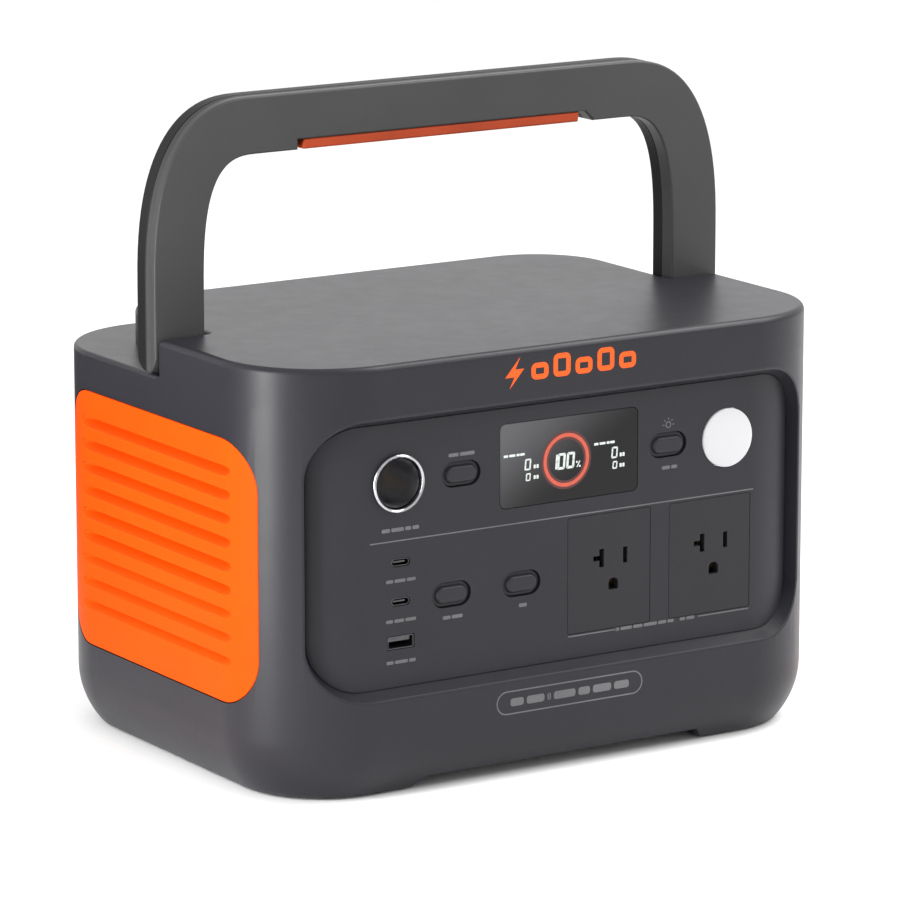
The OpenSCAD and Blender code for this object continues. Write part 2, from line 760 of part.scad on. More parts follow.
module battery_cells() color(cell_blue)
    for (p = cell_at) {
        rod_y(p, cell_r, cell_y0, cell_y0 + cell_l);
        rod_y(p, 7, cell_y0 - 2, cell_y0 + cell_l + 2);
    }

// Moulded rack that holds one end of every cell; face is its outer plane and dir points to the cells
module cell_holder(face, dir) color(black) difference() {
    y0 = dir > 0 ? face : face - holder_t;
    translate([-pack_w/2, y0, pack_z0]) cube([pack_w, holder_t, pack_z1 - pack_z0]);
    for (p = cell_at) {
        rod_y(p, cell_r + 0.1, dir > 0 ? face + 3 : y0 - 1, dir > 0 ? face + holder_t + 1 : face - 3);
        rod_y(p, 9, y0 - 1, y0 + holder_t + 1);
    }
}

module cell_holder_front() cell_holder(cell_y0 - 3, 1);
module cell_holder_rear() cell_holder(cell_y0 + cell_l + 3, -1);

// Nickel strips: one joins the two cells of a column, the next joins the columns
module bus_bars() color(steel)
    for (c = [0:cell_cols - 1]) {
        x = (c - (cell_cols - 1)/2)*cell_pitch;
        translate([x - 6, cell_y0 - 4.1, cell_z0 - 8]) cube([12, 1, cell_pitch + 16]);
        if (c < cell_cols - 1)
            translate([x - 6, cell_y0 + cell_l + 3.1, cell_z0 + (c%2)*cell_pitch - 6])
                cube([cell_pitch + 12, 1, 12]);
    }

// ---- Electronics above the pack ----

// Moulded deck on legs over the pack, with standoffs for the two boards
module electronics_deck() color(black) {
    difference() {
        translate([-118, board_y0 - 10, deck_z]) cube([236, board_y1 - board_y0 + 16, deck_t]);
        for (x = [-60, 0, 60]) translate([x - 18, 0, deck_z - 1]) cube([36, 60, deck_t + 2]);
    }
    for (x = [-109, -14, 14, 109], y = [board_y0 + 4, board_y1 - 4])
        translate([x, y, deck_z + deck_t]) difference() {
            cylinder(r = 3.5, h = board_z - deck_z - deck_t);
            translate([0, 0, 0.5]) cylinder(r = 1.3, h = 10);
        }
    both_sides() for (y = [-30, 45]) {
        translate([121.5, y - 8, leg_z]) cube([5, 16, deck_z + deck_t - leg_z]);
        translate([117, y - 8, deck_z]) cube([7, 16, deck_t]);
    }
}

module board(x0, x1) difference() {
    translate([x0, board_y0, board_z]) cube([x1 - x0, board_y1 - board_y0, board_t]);
    for (x = [x0 + 5, x1 - 5], y = [board_y0 + 4, board_y1 - 4])
        translate([x, y, board_z - 1]) cylinder(r = 1.6, h = board_t + 2);
}

// Battery management board with its row of power transistors
module bms_board() color(board_green) {
    board(-114, -9);
    for (i = [0:7]) translate([-106 + i*11.5, 60, board_z + board_t]) cube([7, 9, 2.4]);
    for (x = lead_x) translate([x - 6, -20, board_z + board_t]) cube([12, 12, 9]);
}

// Inverter and charger board with its relays
module inverter_board() color(board_green) {
    board(9, 114);
    for (x = [22, 44]) translate([x, 58, board_z + board_t]) cube([18, 15, 15]);
    for (i = [0:3]) translate([20 + i*16, 46, board_z + board_t]) cube([10, 5, 16]);
}

// Two finned aluminium bars, one on each board
module heat_sinks() color(steel)
    for (x = [-62, 62]) translate([x, 0, board_z + board_t]) {
        translate([-32, 25, 0]) cube([64, 4, 30]);
        for (i = [0:9]) translate([-32 + i*6.9, 29, 0]) cube([1.8, 12, 30]);
    }

// Ferrite core with its winding
module transformer() color("#8a5a2b") translate([86, -8, board_z + board_t]) {
    difference() {
        translate([-20, -18, 0]) cube([40, 36, 34]);
        for (x = [-11, 11]) translate([x - 5, -19, 8]) cube([10, 38, 18]);
    }
    difference() {
        translate([-15, -22, 9]) cube([30, 44, 16]);
        translate([-16, -18.01, 8]) cube([32, 36.02, 18]);
    }
}

module capacitors() color(black)
    for (x = [24, 50], y = [-20, 6]) translate([x, y, board_z + board_t]) {
        cylinder(r = 11, h = 35);
        translate([0, 0, 35 - eps]) cylinder(r = 10, h = 0.8);
    }

// ---- Fans ----

// Square frame seen along the fan's axis, with its four mounting holes
module fan_square() difference() {
    rounded_rect(fan_size, fan_size, 5);
    circle(r = fan_bore_r);
    for (y = [-1, 1], z = [-1, 1]) translate([y*28, z*28]) circle(r = 2.1);
}

// Hub carrier: a disc with the shaft's bearing hole and four struts
module fan_spider() difference() {
    union() {
        circle(r = 12);
        for (a = [45:90:315]) rotate(a) translate([0, -2]) square([fan_bore_r + 0.5, 4]);
    }
    circle(r = 1.55);
}

module fan_frame() color(black) {
    across_x(fan_x, fan_x + 3) translate([fan_y, fan_z]) {
        fan_square();
        fan_spider();
    }
    across_x(fan_x + 3, fan_x + fan_t) translate([fan_y, fan_z]) fan_square();
}

// Hub with seven pitched blades and its shaft
module fan_rotor() color("#2b2b2d") {
    rod_x(fan_y, fan_z, fan_hub_r, fan_x + 4, fan_x + 17);
    rod_x(fan_y, fan_z, 1.5, fan_x + 0.5, fan_x + 4.1);
    intersection() {
        rod_x(fan_y, fan_z, fan_bore_r - 1.2, fan_x + 4.5, fan_x + 17);
        for (a = [0:360/fan_blades:359])
            translate([fan_x + 10.8, fan_y, fan_z]) rotate([a, 0, 0]) rotate([0, 0, 42])
                translate([-8.5, -0.8, fan_hub_r - 2]) cube([17, 1.6, 24]);
    }
}

module fan_frame_right() fan_frame();
module fan_frame_left() mirror([1, 0, 0]) fan_frame();
module fan_rotor_right() fan_rotor();
module fan_rotor_left() mirror([1, 0, 0]) fan_rotor();

// ---- Wiring between the pack and the boards ----

// One lead: up from a bus bar, a round bend and back to its terminal block
module lead(x) {
    bend = 9;
    y = cell_y0 - 4.2 - lead_r;
    top = board_z + board_t + lead_r + 2;
    translate([x, y, pack_z1 - 20]) cylinder(r = lead_r, h = top - bend - pack_z1 + 20);
    translate([x, y + bend, top - bend]) rotate([90, 0, 90]) rotate([0, 0, 90])
        rotate_extrude(angle = 90) translate([bend, 0]) circle(r = lead_r);
    translate([x, y + bend, top]) rotate([-90, 0, 0]) cylinder(r = lead_r, h = -20 - y - bend);
}

module power_leads() {
    color("#c03020") lead(lead_x[0]);
    color(black) lead(lead_x[1]);
}

// ---- Assembly ----

main_shell();
base_plate();
rubber_feet();
base_screws();
front_panel();
rear_panel();
rear_screws();
vent_grille_left();
vent_grille_right();
handle_front_shell();
handle_rear_shell();
handle_grip();
handle_screws();
hinge_bushings();
hinge_pins();
hinge_washers();
hinge_brackets();
hinge_clips();
display_window();
display_module();
display_board();
car_socket_ring();
car_socket_barrel();
car_socket_base();
car_socket_contact();
power_button();
light_button();
dc_usb_button();
ac_button();
button_switches();
light_lens();
light_reflector();
light_board();
usb_c_port_upper();
usb_c_port_lower();
usb_a_port();
usb_board();
outlet_left();
outlet_right();
outlet_contacts_left();
outlet_contacts_right();
ac_inlet();
ac_inlet_pins();
dc_input_socket();
battery_cells();
cell_holder_front();
cell_holder_rear();
bus_bars();
electronics_deck();
bms_board();
inverter_board();
heat_sinks();
transformer();
capacitors();
fan_frame_left();
fan_frame_right();
fan_rotor_left();
fan_rotor_right();
power_leads();
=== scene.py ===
"""Looks of the portable power station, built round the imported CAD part.

Shapes are worked out in millimetres in the part's own frame: +Z up, the control panel towards -Y.
Solid.build() turns them into metres. Every piece rides on a CAD body, and most stand for CAD nodes.
"""

import math

import bmesh
import bpy
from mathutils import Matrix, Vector


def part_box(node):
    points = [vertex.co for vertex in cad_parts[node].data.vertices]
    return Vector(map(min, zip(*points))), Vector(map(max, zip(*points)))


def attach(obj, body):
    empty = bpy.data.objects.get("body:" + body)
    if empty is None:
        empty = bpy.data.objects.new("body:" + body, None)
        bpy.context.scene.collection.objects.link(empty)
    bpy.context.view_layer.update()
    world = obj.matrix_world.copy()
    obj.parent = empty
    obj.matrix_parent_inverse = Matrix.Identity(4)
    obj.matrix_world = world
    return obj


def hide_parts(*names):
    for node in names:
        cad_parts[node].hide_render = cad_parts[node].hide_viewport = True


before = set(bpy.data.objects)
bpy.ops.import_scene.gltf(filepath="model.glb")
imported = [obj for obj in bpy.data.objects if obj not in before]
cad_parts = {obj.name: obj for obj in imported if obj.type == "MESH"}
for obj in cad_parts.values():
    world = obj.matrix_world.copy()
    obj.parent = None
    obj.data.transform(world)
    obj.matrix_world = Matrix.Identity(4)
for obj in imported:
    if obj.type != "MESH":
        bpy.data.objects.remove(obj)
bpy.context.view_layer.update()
scene = bpy.context.scene
MM = 0.001

# ---- Camera: from the front left, a little above ----

camera_data = bpy.data.cameras.new("camera")
camera_data.lens = 213.1
camera_data.sensor_width = 36.0
camera_data.clip_end = 50.0
camera = bpy.data.objects.new("camera", camera_data)
camera.location = (-1.2788, -2.0105, 0.6477)
camera.rotation_euler = Vector((0.52594, 0.82312, -0.21414)).to_track_quat("-Z", "Y").to_euler()
scene.collection.objects.link(camera)
scene.camera = camera

# ---- Sizes, read from the frame or named here ----


def box(node):
    """Lowest and highest corner of a CAD node in millimetres."""
    low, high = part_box(node)
    return Vector(low)/MM, Vector(high)/MM


def middle(node):
    """Centre of a CAD node's box in X and Z, in millimetres."""
    low, high = box(node)
    return (low.x + high.x)/2, (low.z + high.z)/2


SHELL_HIGH = box("main_shell")[1]
HALF_W = SHELL_HIGH.x
HALF_D = SHELL_HIGH.y
TOP_Z = SHELL_HIGH.z
CORNER_R = 50.0
BASE_R = 40.0
BASE_TURN_Z = 28.0
WALL = 3.0
FLOOR_GAP = 0.8
UNDER_Z = 6.3
FLANGE_Z = UNDER_Z + WALL
CHANNEL_HALF = 78.0

HANDLE_LOW, HANDLE_BACK = box("handle_rear_shell")
FRONT_LOW, HANDLE_TOP = box("handle_front_shell")
ARM_W = 25.4
ARM_OUT = HANDLE_TOP.x
ARM_IN = ARM_OUT - ARM_W
SEAM_Y = HANDLE_LOW.y
HANDLE_FRONT = FRONT_LOW.y
HANDLE_REAR = HANDLE_BACK.y
END_R = HANDLE_REAR - SEAM_Y
PIVOT_Z = HANDLE_LOW.z + END_R
ARCH_TOP = HANDLE_TOP.z
BAR_Z = box("handle_grip")[0].z
NOTCH_Z = BAR_Z + 4.6
NOTCH_LEFT = -77.0
NOTCH_RIGHT = 81.0
NOTCH_SLOPE = 4.5
PAD_LEFT = -75.0
PAD_RIGHT = 73.0
HANDLE_SCREW_Z = (215, 250)
HANDLE_SCREW_X = 50
BOW_OUT = (51.0, 82.0, 2.5)
BOW_IN = (28.0, 62.0, 3.0)
PIN_BORE_R = 4.05
BUSHING_BORE_R = 7.05

LEDGE_Z = PIVOT_Z - END_R - 0.55
NOTCH_Y = HANDLE_FRONT - 0.85
PLATEAU_HALF = ARM_IN - 1.0
PLATEAU_Y = SEAM_Y + BAR_Z - PIVOT_Z - 0.7
PLATEAU_R = 38.0
TOP_EDGE = 3.0
LEDGE_EDGE = 2.0

PANEL_LOW, PANEL_HIGH = box("front_panel")
PANEL_Y = PANEL_LOW.y
PANEL_BACK = PANEL_Y + 3.0
RECESS_HALF = PANEL_HIGH.x + 0.3
RECESS_Z0 = PANEL_LOW.z - 0.3
RECESS_Z1 = PANEL_HIGH.z + 0.3
RECESS_R = 22.0

VENT_LOW, VENT_HIGH = box("vent_grille_right")
VENT_HALF = VENT_HIGH.y
VENT_Z0 = VENT_LOW.z
VENT_Z1 = VENT_HIGH.z
VENT_R = 22.0
VENT_GAP = 0.45
LOUVRES = 9
LOUVRE_Z0 = 60.2
LOUVRE_PITCH = 85/8
SHALLOW_LOUVRES = 3

# ---- Materials ----


def new_material(name):
    material = bpy.data.materials.new(name)
    material.use_nodes = True
    return material, material.node_tree, material.node_tree.nodes["Principled BSDF"]


def noise(tree, size, detail=2.0, stretch=(1, 1, 1)):
    """Noise fixed to the object, with features about size millimetres across."""
    place = tree.nodes.new("ShaderNodeTexCoord")
    mapping = tree.nodes.new("ShaderNodeMapping")
    mapping.inputs["Scale"].default_value = stretch
    texture = tree.nodes.new("ShaderNodeTexNoise")
    texture.inputs["Scale"].default_value = 1/(size*MM)
    texture.inputs["Detail"].default_value = detail
    tree.links.new(place.outputs["Object"], mapping.inputs["Vector"])
    tree.links.new(mapping.outputs["Vector"], texture.inputs["Vector"])
    return texture.outputs["Fac"]


def spread(tree, signal, low, high):
    """Maps the useful middle of a noise signal onto low to high."""
    node = tree.nodes.new("ShaderNodeMapRange")
    node.inputs["From Min"].default_value = 0.3
    node.inputs["From Max"].default_value = 0.7
    node.inputs["To Min"].default_value = low
    node.inputs["To Max"].default_value = high
    tree.links.new(signal, node.inputs["Value"])
    return node.outputs["Result"]


def two_tone(tree, signal, dark, light):
    """Blends between two colours by a noise signal."""
    ramp = tree.nodes.new("ShaderNodeValToRGB")
    ramp.color_ramp.elements[0].position = 0.3
    ramp.color_ramp.elements[0].color = (*dark, 1)
    ramp.color_ramp.elements[1].position = 0.7
    ramp.color_ramp.elements[1].color = (*light, 1)
    tree.links.new(signal, ramp.inputs["Fac"])
    return ramp.outputs["Color"]


def relief(tree, shader, signal, depth):
    """Bump of depth millimetres from a noise signal."""
    bump = tree.nodes.new("ShaderNodeBump")
    bump.inputs["Distance"].default_value = depth*MM
    tree.links.new(signal, bump.inputs["Height"])
    tree.links.new(bump.outputs["Normal"], shader.inputs["Normal"])


def shade(colour, factor):
    return tuple(min(channel*factor, 1.0) for channel in colour)


def plastic(name, colour, roughness, grain=0.5, depth=0.012, mottle=0.05, **constants):
    """Moulded plastic: faint cloudy colour, patchy gloss and a fine spark-eroded grain."""
    material, tree, shader = new_material(name)
    cloud = noise(tree, 40, 3.0)
    colour_out = two_tone(tree, cloud, shade(colour, 1 - mottle), shade(colour, 1 + mottle))
    tree.links.new(colour_out, shader.inputs["Base Color"])
    gloss = spread(tree, noise(tree, 9, 4.0), roughness - 0.015, roughness + 0.015)
    tree.links.new(gloss, shader.inputs["Roughness"])
    relief(tree, shader, noise(tree, grain), depth)
    shader.inputs["Specular IOR Level"].default_value = 0.28
    for socket, value in constants.items():
        shader.inputs[socket.replace("_", " ")].default_value = value
    return material


def metal(name, colour, roughness, stretch=(1, 1, 1), depth=0.004):
    """Metal with drawn-out polishing marks and patchy gloss."""
    material, tree, shader = new_material(name)
    shader.inputs["Metallic"].default_value = 1.0
    marks = noise(tree, 1.2, 5.0, stretch)
    tone = two_tone(tree, marks, shade(colour, 0.85), shade(colour, 1.08))
    tree.links.new(tone, shader.inputs["Base Color"])
    gloss = spread(tree, noise(tree, 5, 3.0, stretch), roughness*0.75, roughness*1.3)
    tree.links.new(gloss, shader.inputs["Roughness"])
    relief(tree, shader, marks, depth)
    return material


def lit(name, colour, glow):
    """Lit display element with slightly uneven brightness."""
    material, tree, shader = new_material(name)
    tone = two_tone(tree, noise(tree, 1.5), shade(colour, 0.85), colour)
    tree.links.new(tone, shader.inputs["Base Color"])
    tree.links.new(tone, shader.inputs["Emission Color"])
    shader.inputs["Emission Strength"].default_value = glow
    shader.inputs["Roughness"].default_value = 0.4
    return material


GRAPHITE = (0.0155, 0.0150, 0.0195)
graphite = plastic("graphite_shell", GRAPHITE, 0.38)
handle_front_finish = plastic("handle_front", (0.042, 0.042, 0.0425), 0.42)
handle_rear_finish = plastic("handle_rear", (0.006, 0.006, 0.0065), 0.5, Specular_IOR_Level=0.2)
panel_finish = plastic("panel", (0.0165, 0.0160, 0.0205), 0.5, grain=0.35)
button_finish = plastic("button", (0.0175, 0.0170, 0.0215), 0.46, grain=0.35)
outlet_finish = plastic("outlet_face", (0.0155, 0.0150, 0.0185), 0.5, grain=0.35)
orange = plastic("orange_grille", (0.74, 0.062, 0.0006), 0.55, mottle=0.03, Specular_IOR_Level=0.06)
# Matt orange rubber of the grip pad. Its base colour is darkened and browned as painted shade from the
# handle's bar above it.
grip_orange_painted_shade = plastic("orange_grip_painted_shade", (0.34, 0.042, 0.009), 0.75, grain=0.8, depth=0.03, mottle=0.16)
orange_ink = plastic("orange_ink", (0.90, 0.10, 0.006), 0.5, depth=0.004)
ink = plastic("grey_ink", (0.12, 0.12, 0.125), 0.6, depth=0.004, mottle=0.15)
black_plastic = plastic("black_plastic", (0.012, 0.012, 0.013), 0.45)
black_rubber = plastic("black_rubber", (0.015, 0.015, 0.015), 0.8, grain=0.9, depth=0.04, mottle=0.2)
diffuser = plastic("diffuser", (0.56, 0.555, 0.57), 0.35, mottle=0.02)
chrome = metal("chrome", (0.46, 0.46, 0.48), 0.16, depth=0.001)
dark_nickel = metal("dark_nickel", (0.42, 0.42, 0.44), 0.42, (1, 6, 1))
steel = metal("zinc_steel", (0.56, 0.56, 0.57), 0.34, (6, 1, 1))
port_steel = metal("port_steel", (0.10, 0.10, 0.105), 0.4, (1, 1, 5))
brass = metal("contact_brass", (0.62, 0.44, 0.16), 0.3, (1, 5, 1))
bronze = metal("bushing_bronze", (0.48, 0.31, 0.14), 0.42)
nickel = metal("nickel_strip", (0.62, 0.60, 0.56), 0.3, (5, 1, 1))
aluminium = metal("heat_sink_aluminium", (0.70, 0.71, 0.72), 0.38, (1, 1, 8))
copper = metal("winding_copper", (0.60, 0.27, 0.10), 0.35, (1, 1, 9))
board_green = plastic("circuit_board", (0.014, 0.09, 0.04), 0.35, grain=1.2, mottle=0.35)
cell_blue = plastic("cell_sleeve", (0.03, 0.11, 0.27), 0.3, mottle=0.12)
capacitor_sleeve = plastic("capacitor_sleeve", (0.02, 0.025, 0.045), 0.3, mottle=0.15)
lead_red = plastic("lead_insulation", (0.35, 0.02, 0.015), 0.55, mottle=0.15)
white_glow = lit("display_white", (0.55, 0.59, 0.56), 0.35)
ring_glow = lit("display_ring", (0.50, 0.07, 0.035), 0.25)
halo_glow = lit("display_halo", (0.07, 0.009, 0.006), 0.1)


def smoked_glass_painted_reflection():
    """Glossy smoked cover; its base colour turns greyer towards the upper left corner as a painted
    reflection.
    """
    material, tree, shader = new_material("smoked_cover_painted_reflection")
    across, up = -9.0, 13.0
    low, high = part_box("display_window")
    place = tree.nodes.new("ShaderNodeTexCoord")
    slide = tree.nodes.new("ShaderNodeVectorMath")
    slide.operation = "DOT_PRODUCT"
    slide.inputs[1].default_value = (across, 0, up)
    tree.links.new(place.outputs["Object"], slide.inputs[0])
    centre = (low[0] + high[0])/2*across + (low[2] + high[2])/2*up
    reach = tree.nodes.new("ShaderNodeMapRange")
    reach.interpolation_type = "SMOOTHSTEP"
    reach.inputs["From Min"].default_value = centre - 0.15
    reach.inputs["From Max"].default_value = centre + 0.62
    tree.links.new(slide.outputs["Value"], reach.inputs["Value"])
    # Painted reflection: the base colour runs from near black at the lower right to grey at the upper left.
    ramp = tree.nodes.new("ShaderNodeValToRGB")
    ramp.color_ramp.elements[0].color = (0.004, 0.004, 0.005, 1)
    ramp.color_ramp.elements[1].color = (0.10, 0.10, 0.105, 1)
    tree.links.new(reach.outputs["Result"], ramp.inputs["Fac"])
    tree.links.new(ramp.outputs["Color"], shader.inputs["Base Color"])
    tree.links.new(spread(tree, noise(tree, 12, 3.0), 0.07, 0.13), shader.inputs["Roughness"])
    relief(tree, shader, noise(tree, 6.0), 0.002)
    shader.inputs["Specular IOR Level"].default_value = 0.22
    return material


# ---- Outlines and solids ----


def outline(corners, inset=0.0):
    """Points of an anticlockwise outline with round corners, drawn in by inset.

    corners holds (x, y, radius, steps). inset is one number, or one for each edge, where edge i
    runs from corner i to the next. A corner on a straight edge spreads its points along the edge.
    """
    count = len(corners)
    insets = inset if isinstance(inset, (list, tuple)) else [inset]*count
    points = []
    for i, (x, y, radius, steps) in enumerate(corners):
        here = Vector((x, y))
        into = (here - Vector(corners[i - 1][:2])).normalized()
        out = (Vector(corners[(i + 1) % count][:2]) - here).normalized()
        side_in = Vector((-into.y, into.x))
        side_out = Vector((-out.y, out.x))
        sine = into.x*out.y - into.y*out.x
        cosine = into.dot(out)
        a, b = insets[i - 1], insets[i]
        if abs(sine) < 1e-6:
            for k in range(steps + 1):
                t = k/steps
                points.append(here + into*radius*(2*t - 1) + side_in*(a + (b - a)*t))
            continue
        vertex = here + side_in*(a - b*cosine)/sine**2 + side_out*(b - a*cosine)/sine**2
        turn = math.atan2(sine, cosine)
        way = math.copysign(1, turn)
        r = max(radius - way*(a + b)/2, 0.02)
        centre = vertex - into*r*math.tan(abs(turn)/2) + side_in*r*way
        spoke = -side_in*r*way
        for k in range(steps + 1):
            angle = turn*k/steps
            c, s = math.cos(angle), math.sin(angle)
            points.append(centre + Vector((c*spoke.x - s*spoke.y, s*spoke.x + c*spoke.y)))
    return points


def rectangle(x, z, width, height, radius, steps=8):
    """Corners of a rectangle round (x, z)."""
    w, h = width/2, height/2
    return [(x - w, z - h, radius, steps), (x + w, z - h, radius, steps),
            (x + w, z + h, radius, steps), (x - w, z + h, radius, steps)]


def pill(x, z, width, height):
    return rectangle(x, z, width, height, height/2 - 0.01, 10)


def hoop(x, z, radius, steps=20):
    """Corners of a round outline, for bands that need an inset."""
    return rectangle(x, z, 2*radius, 2*radius, radius - 0.01, steps)


def circle(x, z, radius, steps=48):
    return [Vector((x + radius*math.cos(2*math.pi*k/steps), z + radius*math.sin(2*math.pi*k/steps)))
            for k in range(steps)]


def facing(points, y):
    """An outline drawn in X and Z, stood upright at y."""
    return [(p[0], y, p[1]) for p in points]


def sideways(points, x):
    """An outline drawn in Y and Z, stood upright at x."""
    return [(x, p[0], p[1]) for p in points]


def level(points, z):
    """An outline drawn in X and Y, laid at height z."""
    return [(p[0], p[1], z) for p in points]


def quarter(radius, steps=6):
    """Inset and rise along a quarter round: from (0, 0) up to (radius, radius)."""
    return [(radius*(1 - math.cos(math.pi/2*k/steps)), radius*math.sin(math.pi/2*k/steps))
            for k in range(steps + 1)]


def weld(mesh):
    """Joins doubled points and turns every face outwards."""
    work = bmesh.new()
    work.from_mesh(mesh)
    bmesh.ops.remove_doubles(work, verts=work.verts, dist=0.002*MM)
    bmesh.ops.recalc_face_normals(work, faces=work.faces)
    work.to_mesh(mesh)
    work.free()


class Solid:
    """Closed shells of quads with capped ends, gathered into one mesh."""

    def __init__(self):
        self.points = []
        self.faces = []

    def loft(self, rings, loop=False):
        """Joins each ring of points to the next. A loop joins the last ring to the first."""
        start = len(self.points)
        count = len(rings[0])
        for ring in rings:
            self.points += [tuple(p) for p in ring]
        for i in range(len(rings) if loop else len(rings) - 1):
            a = start + i*count
            b = start + (i + 1) % len(rings)*count
            for k in range(count):
                n = (k + 1) % count
                self.faces.append((a + k, a + n, b + n, b + k))
        if not loop:
            self.faces.append(tuple(range(start, start + count)))
            self.faces.append(tuple(range(len(self.points) - count, len(self.points))))
        return self

    def slab(self, points, y0, y1):
        """An upright outline in X and Z, from y0 back to y1."""
        return self.loft([facing(points, y0), facing(points, y1)])

    def frame(self, corners, width, y0, y1):
        """A flat band of the given width inside an upright outline."""
        outer, inner = outline(corners), outline(corners, width)
        return self.loft([facing(outer, y0), facing(outer, y1), facing(inner, y1), facing(inner, y0)], True)

    def lathe(self, profile, x, z, loop=False):
        """Turns (radius, y) round an axis along Y."""
        return self.loft([facing(circle(x, z, max(r, 0.02), 64), y) for r, y in profile], loop)

    def build(self, name, material):
        mesh = bpy.data.meshes.new(name)
        mesh.from_pydata([Vector(p)*MM for p in self.points], [], self.faces)
        weld(mesh)
        mesh.materials.append(material)
        piece = bpy.data.objects.new(name, mesh)
        scene.collection.objects.link(piece)
        return piece


def bake(piece):
    """Replaces a piece's mesh with what its modifiers make of it."""
    bpy.context.view_layer.update()
    shaped = piece.evaluated_get(bpy.context.evaluated_depsgraph_get())
    mesh = bpy.data.meshes.new_from_object(shaped)
    piece.modifiers.clear()
    piece.data = mesh
    return piece


def boolean(piece, tool, operation="DIFFERENCE"):
    """Cuts or joins exactly, and removes the tool."""
    change = piece.modifiers.new("boolean", "BOOLEAN")
    change.operation = operation
    change.solver = "EXACT"
    change.object = tool
    bake(piece)
    bpy.data.objects.remove(tool)
    return piece


def cutter(solid):
    return solid.build("cutter", graphite)


def soften(piece, width=0.0, sharp=35.0):
    """Rounds the sharp edges by width, then shades flats flat and curves smooth."""
    if width:
        edge = piece.modifiers.new("edge", "BEVEL")
        edge.width = width*MM
        edge.segments = 2
        edge.limit_method = "ANGLE"
        edge.angle_limit = math.radians(sharp)
        edge.use_clamp_overlap = False
        edge.miter_outer = "MITER_ARC"
        bake(piece)
    piece.data.shade_smooth()
    piece.data.set_sharp_from_angle(angle=math.radians(sharp))
    even = piece.modifiers.new("even", "WEIGHTED_NORMAL")
    even.keep_sharp = True
    return piece


def mount(piece, body, slot, *nodes):
    """Rides the piece on its body and hides the CAD nodes it stands for. slot is not used."""
    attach(piece, body)
    if nodes:
        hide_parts(*nodes)
    return piece


def plate(name, outer, holes, y0, thickness, edge, material):
    """An upright plate with holes, front face at y0, all its edges rounded by edge."""
    curve = bpy.data.curves.new(name, "CURVE")
    curve.dimensions = "2D"
    curve.fill_mode = "BOTH"
    curve.extrude = (thickness/2 - edge)*MM
    curve.bevel_depth = edge*MM
    curve.bevel_resolution = 1
    curve.offset = -edge*MM
    for points in [outer] + holes:
        spline = curve.splines.new("POLY")
        spline.points.add(len(points) - 1)
        for point, place in zip(spline.points, points):
            point.co = (place[0]*MM, place[1]*MM, 0, 1)
        spline.use_cyclic_u = True
    drawn = bpy.data.objects.new("drawn", curve)
    scene.collection.objects.link(drawn)
    bpy.context.view_layer.update()
    mesh = bpy.data.meshes.new_from_object(drawn.evaluated_get(bpy.context.evaluated_depsgraph_get()))
    bpy.data.objects.remove(drawn)
    for vertex in mesh.vertices:
        x, z, rise = vertex.co
        vertex.co = (x, (y0 + thickness/2)*MM - rise, z)
    weld(mesh)
    mesh.materials.clear()
    mesh.materials.append(material)
    piece = bpy.data.objects.new(name, mesh)
    scene.collection.objects.link(piece)
    return soften(piece)


# ---- Body shell ----


def body_corners():
    """Footprint of the body, with two spare corners on each side that follow the notch's corners."""
    return [(-HALF_W, -HALF_D, CORNER_R, 18), (HALF_W, -HALF_D, CORNER_R, 18),
            (HALF_W, NOTCH_Y, 0.6, 3), (HALF_W, NOTCH_Y + 3, 0.6, 3),
            (HALF_W, HALF_D, CORNER_R, 18), (-HALF_W, HALF_D, CORNER_R, 18),
            (-HALF_W, NOTCH_Y + 3, 0.6, 3), (-HALF_W, NOTCH_Y, 0.6, 3)]


def top_corners():
    """Top face: full width in front of the handle's arms, narrower plateau behind."""
    return [(-HALF_W, -HALF_D, CORNER_R, 18), (HALF_W, -HALF_D, CORNER_R, 18),
            (HALF_W, NOTCH_Y, 1.2, 3), (PLATEAU_HALF, NOTCH_Y, 1.0, 3),
            (PLATEAU_HALF, PLATEAU_Y, PLATEAU_R, 18), (-PLATEAU_HALF, PLATEAU_Y, PLATEAU_R, 18),
            (-PLATEAU_HALF, NOTCH_Y, 1.0, 3), (-HALF_W, NOTCH_Y, 1.2, 3)]


REAR_EDGES = (3, 4, 5)


def body_rings(inset, z0):
    """Levels of the body from z0 up. inset is 0 for the outside and WALL for the inside."""
    turn = BASE_R - inset
    steps = 14
    foot_rise, foot_inset = 0.7, 1.5
    first = math.acos((BASE_TURN_Z - z0 - foot_rise)/turn)
    rings = [level(outline(body_corners(), inset + foot_inset + turn*(1 - math.sin(first))), z0)]
    for k in range(steps + 1):
        angle = first + (math.pi/2 - first)*k/steps
        draw_in = inset + turn*(1 - math.sin(angle))
        rings.append(level(outline(body_corners(), draw_in), BASE_TURN_Z - turn*math.cos(angle)))
    for draw_in, rise in quarter(LEDGE_EDGE, 4):
        edges = [inset + (draw_in if i in REAR_EDGES else 0) for i in range(8)]
        rings.append(level(outline(body_corners(), edges), LEDGE_Z - inset - LEDGE_EDGE + rise))
    rings.append(level(outline(top_corners(), inset), LEDGE_Z - inset))
    for draw_in, rise in quarter(TOP_EDGE, 5):
        rings.append(level(outline(top_corners(), inset + draw_in), TOP_Z - inset - TOP_EDGE + rise))
    return rings


def follow_corners(piece):
    """Bends whatever reaches past the flat of the front round the body's upright corners."""
    flat = HALF_W - CORNER_R
    strip, strips = 2.0, 19
    work = bmesh.new()
    work.from_mesh(piece.data)
    for x in [side*(flat + strip*k) for side in (-1, 1) for k in range(strips)]:
        everything = work.verts[:] + work.edges[:] + work.faces[:]
        bmesh.ops.bisect_plane(work, geom=everything, dist=0.001*MM,
                               plane_co=(x*MM, 0, 0), plane_no=(1, 0, 0))
    for vertex in work.verts:
        past = abs(vertex.co.x)/MM - flat
        if past > 0:
            radius = CORNER_R - (vertex.co.y/MM + HALF_D)
            vertex.co.y = (CORNER_R - HALF_D - math.sqrt(radius**2 - past**2))*MM
    work.to_mesh(piece.data)
    work.free()
    return piece


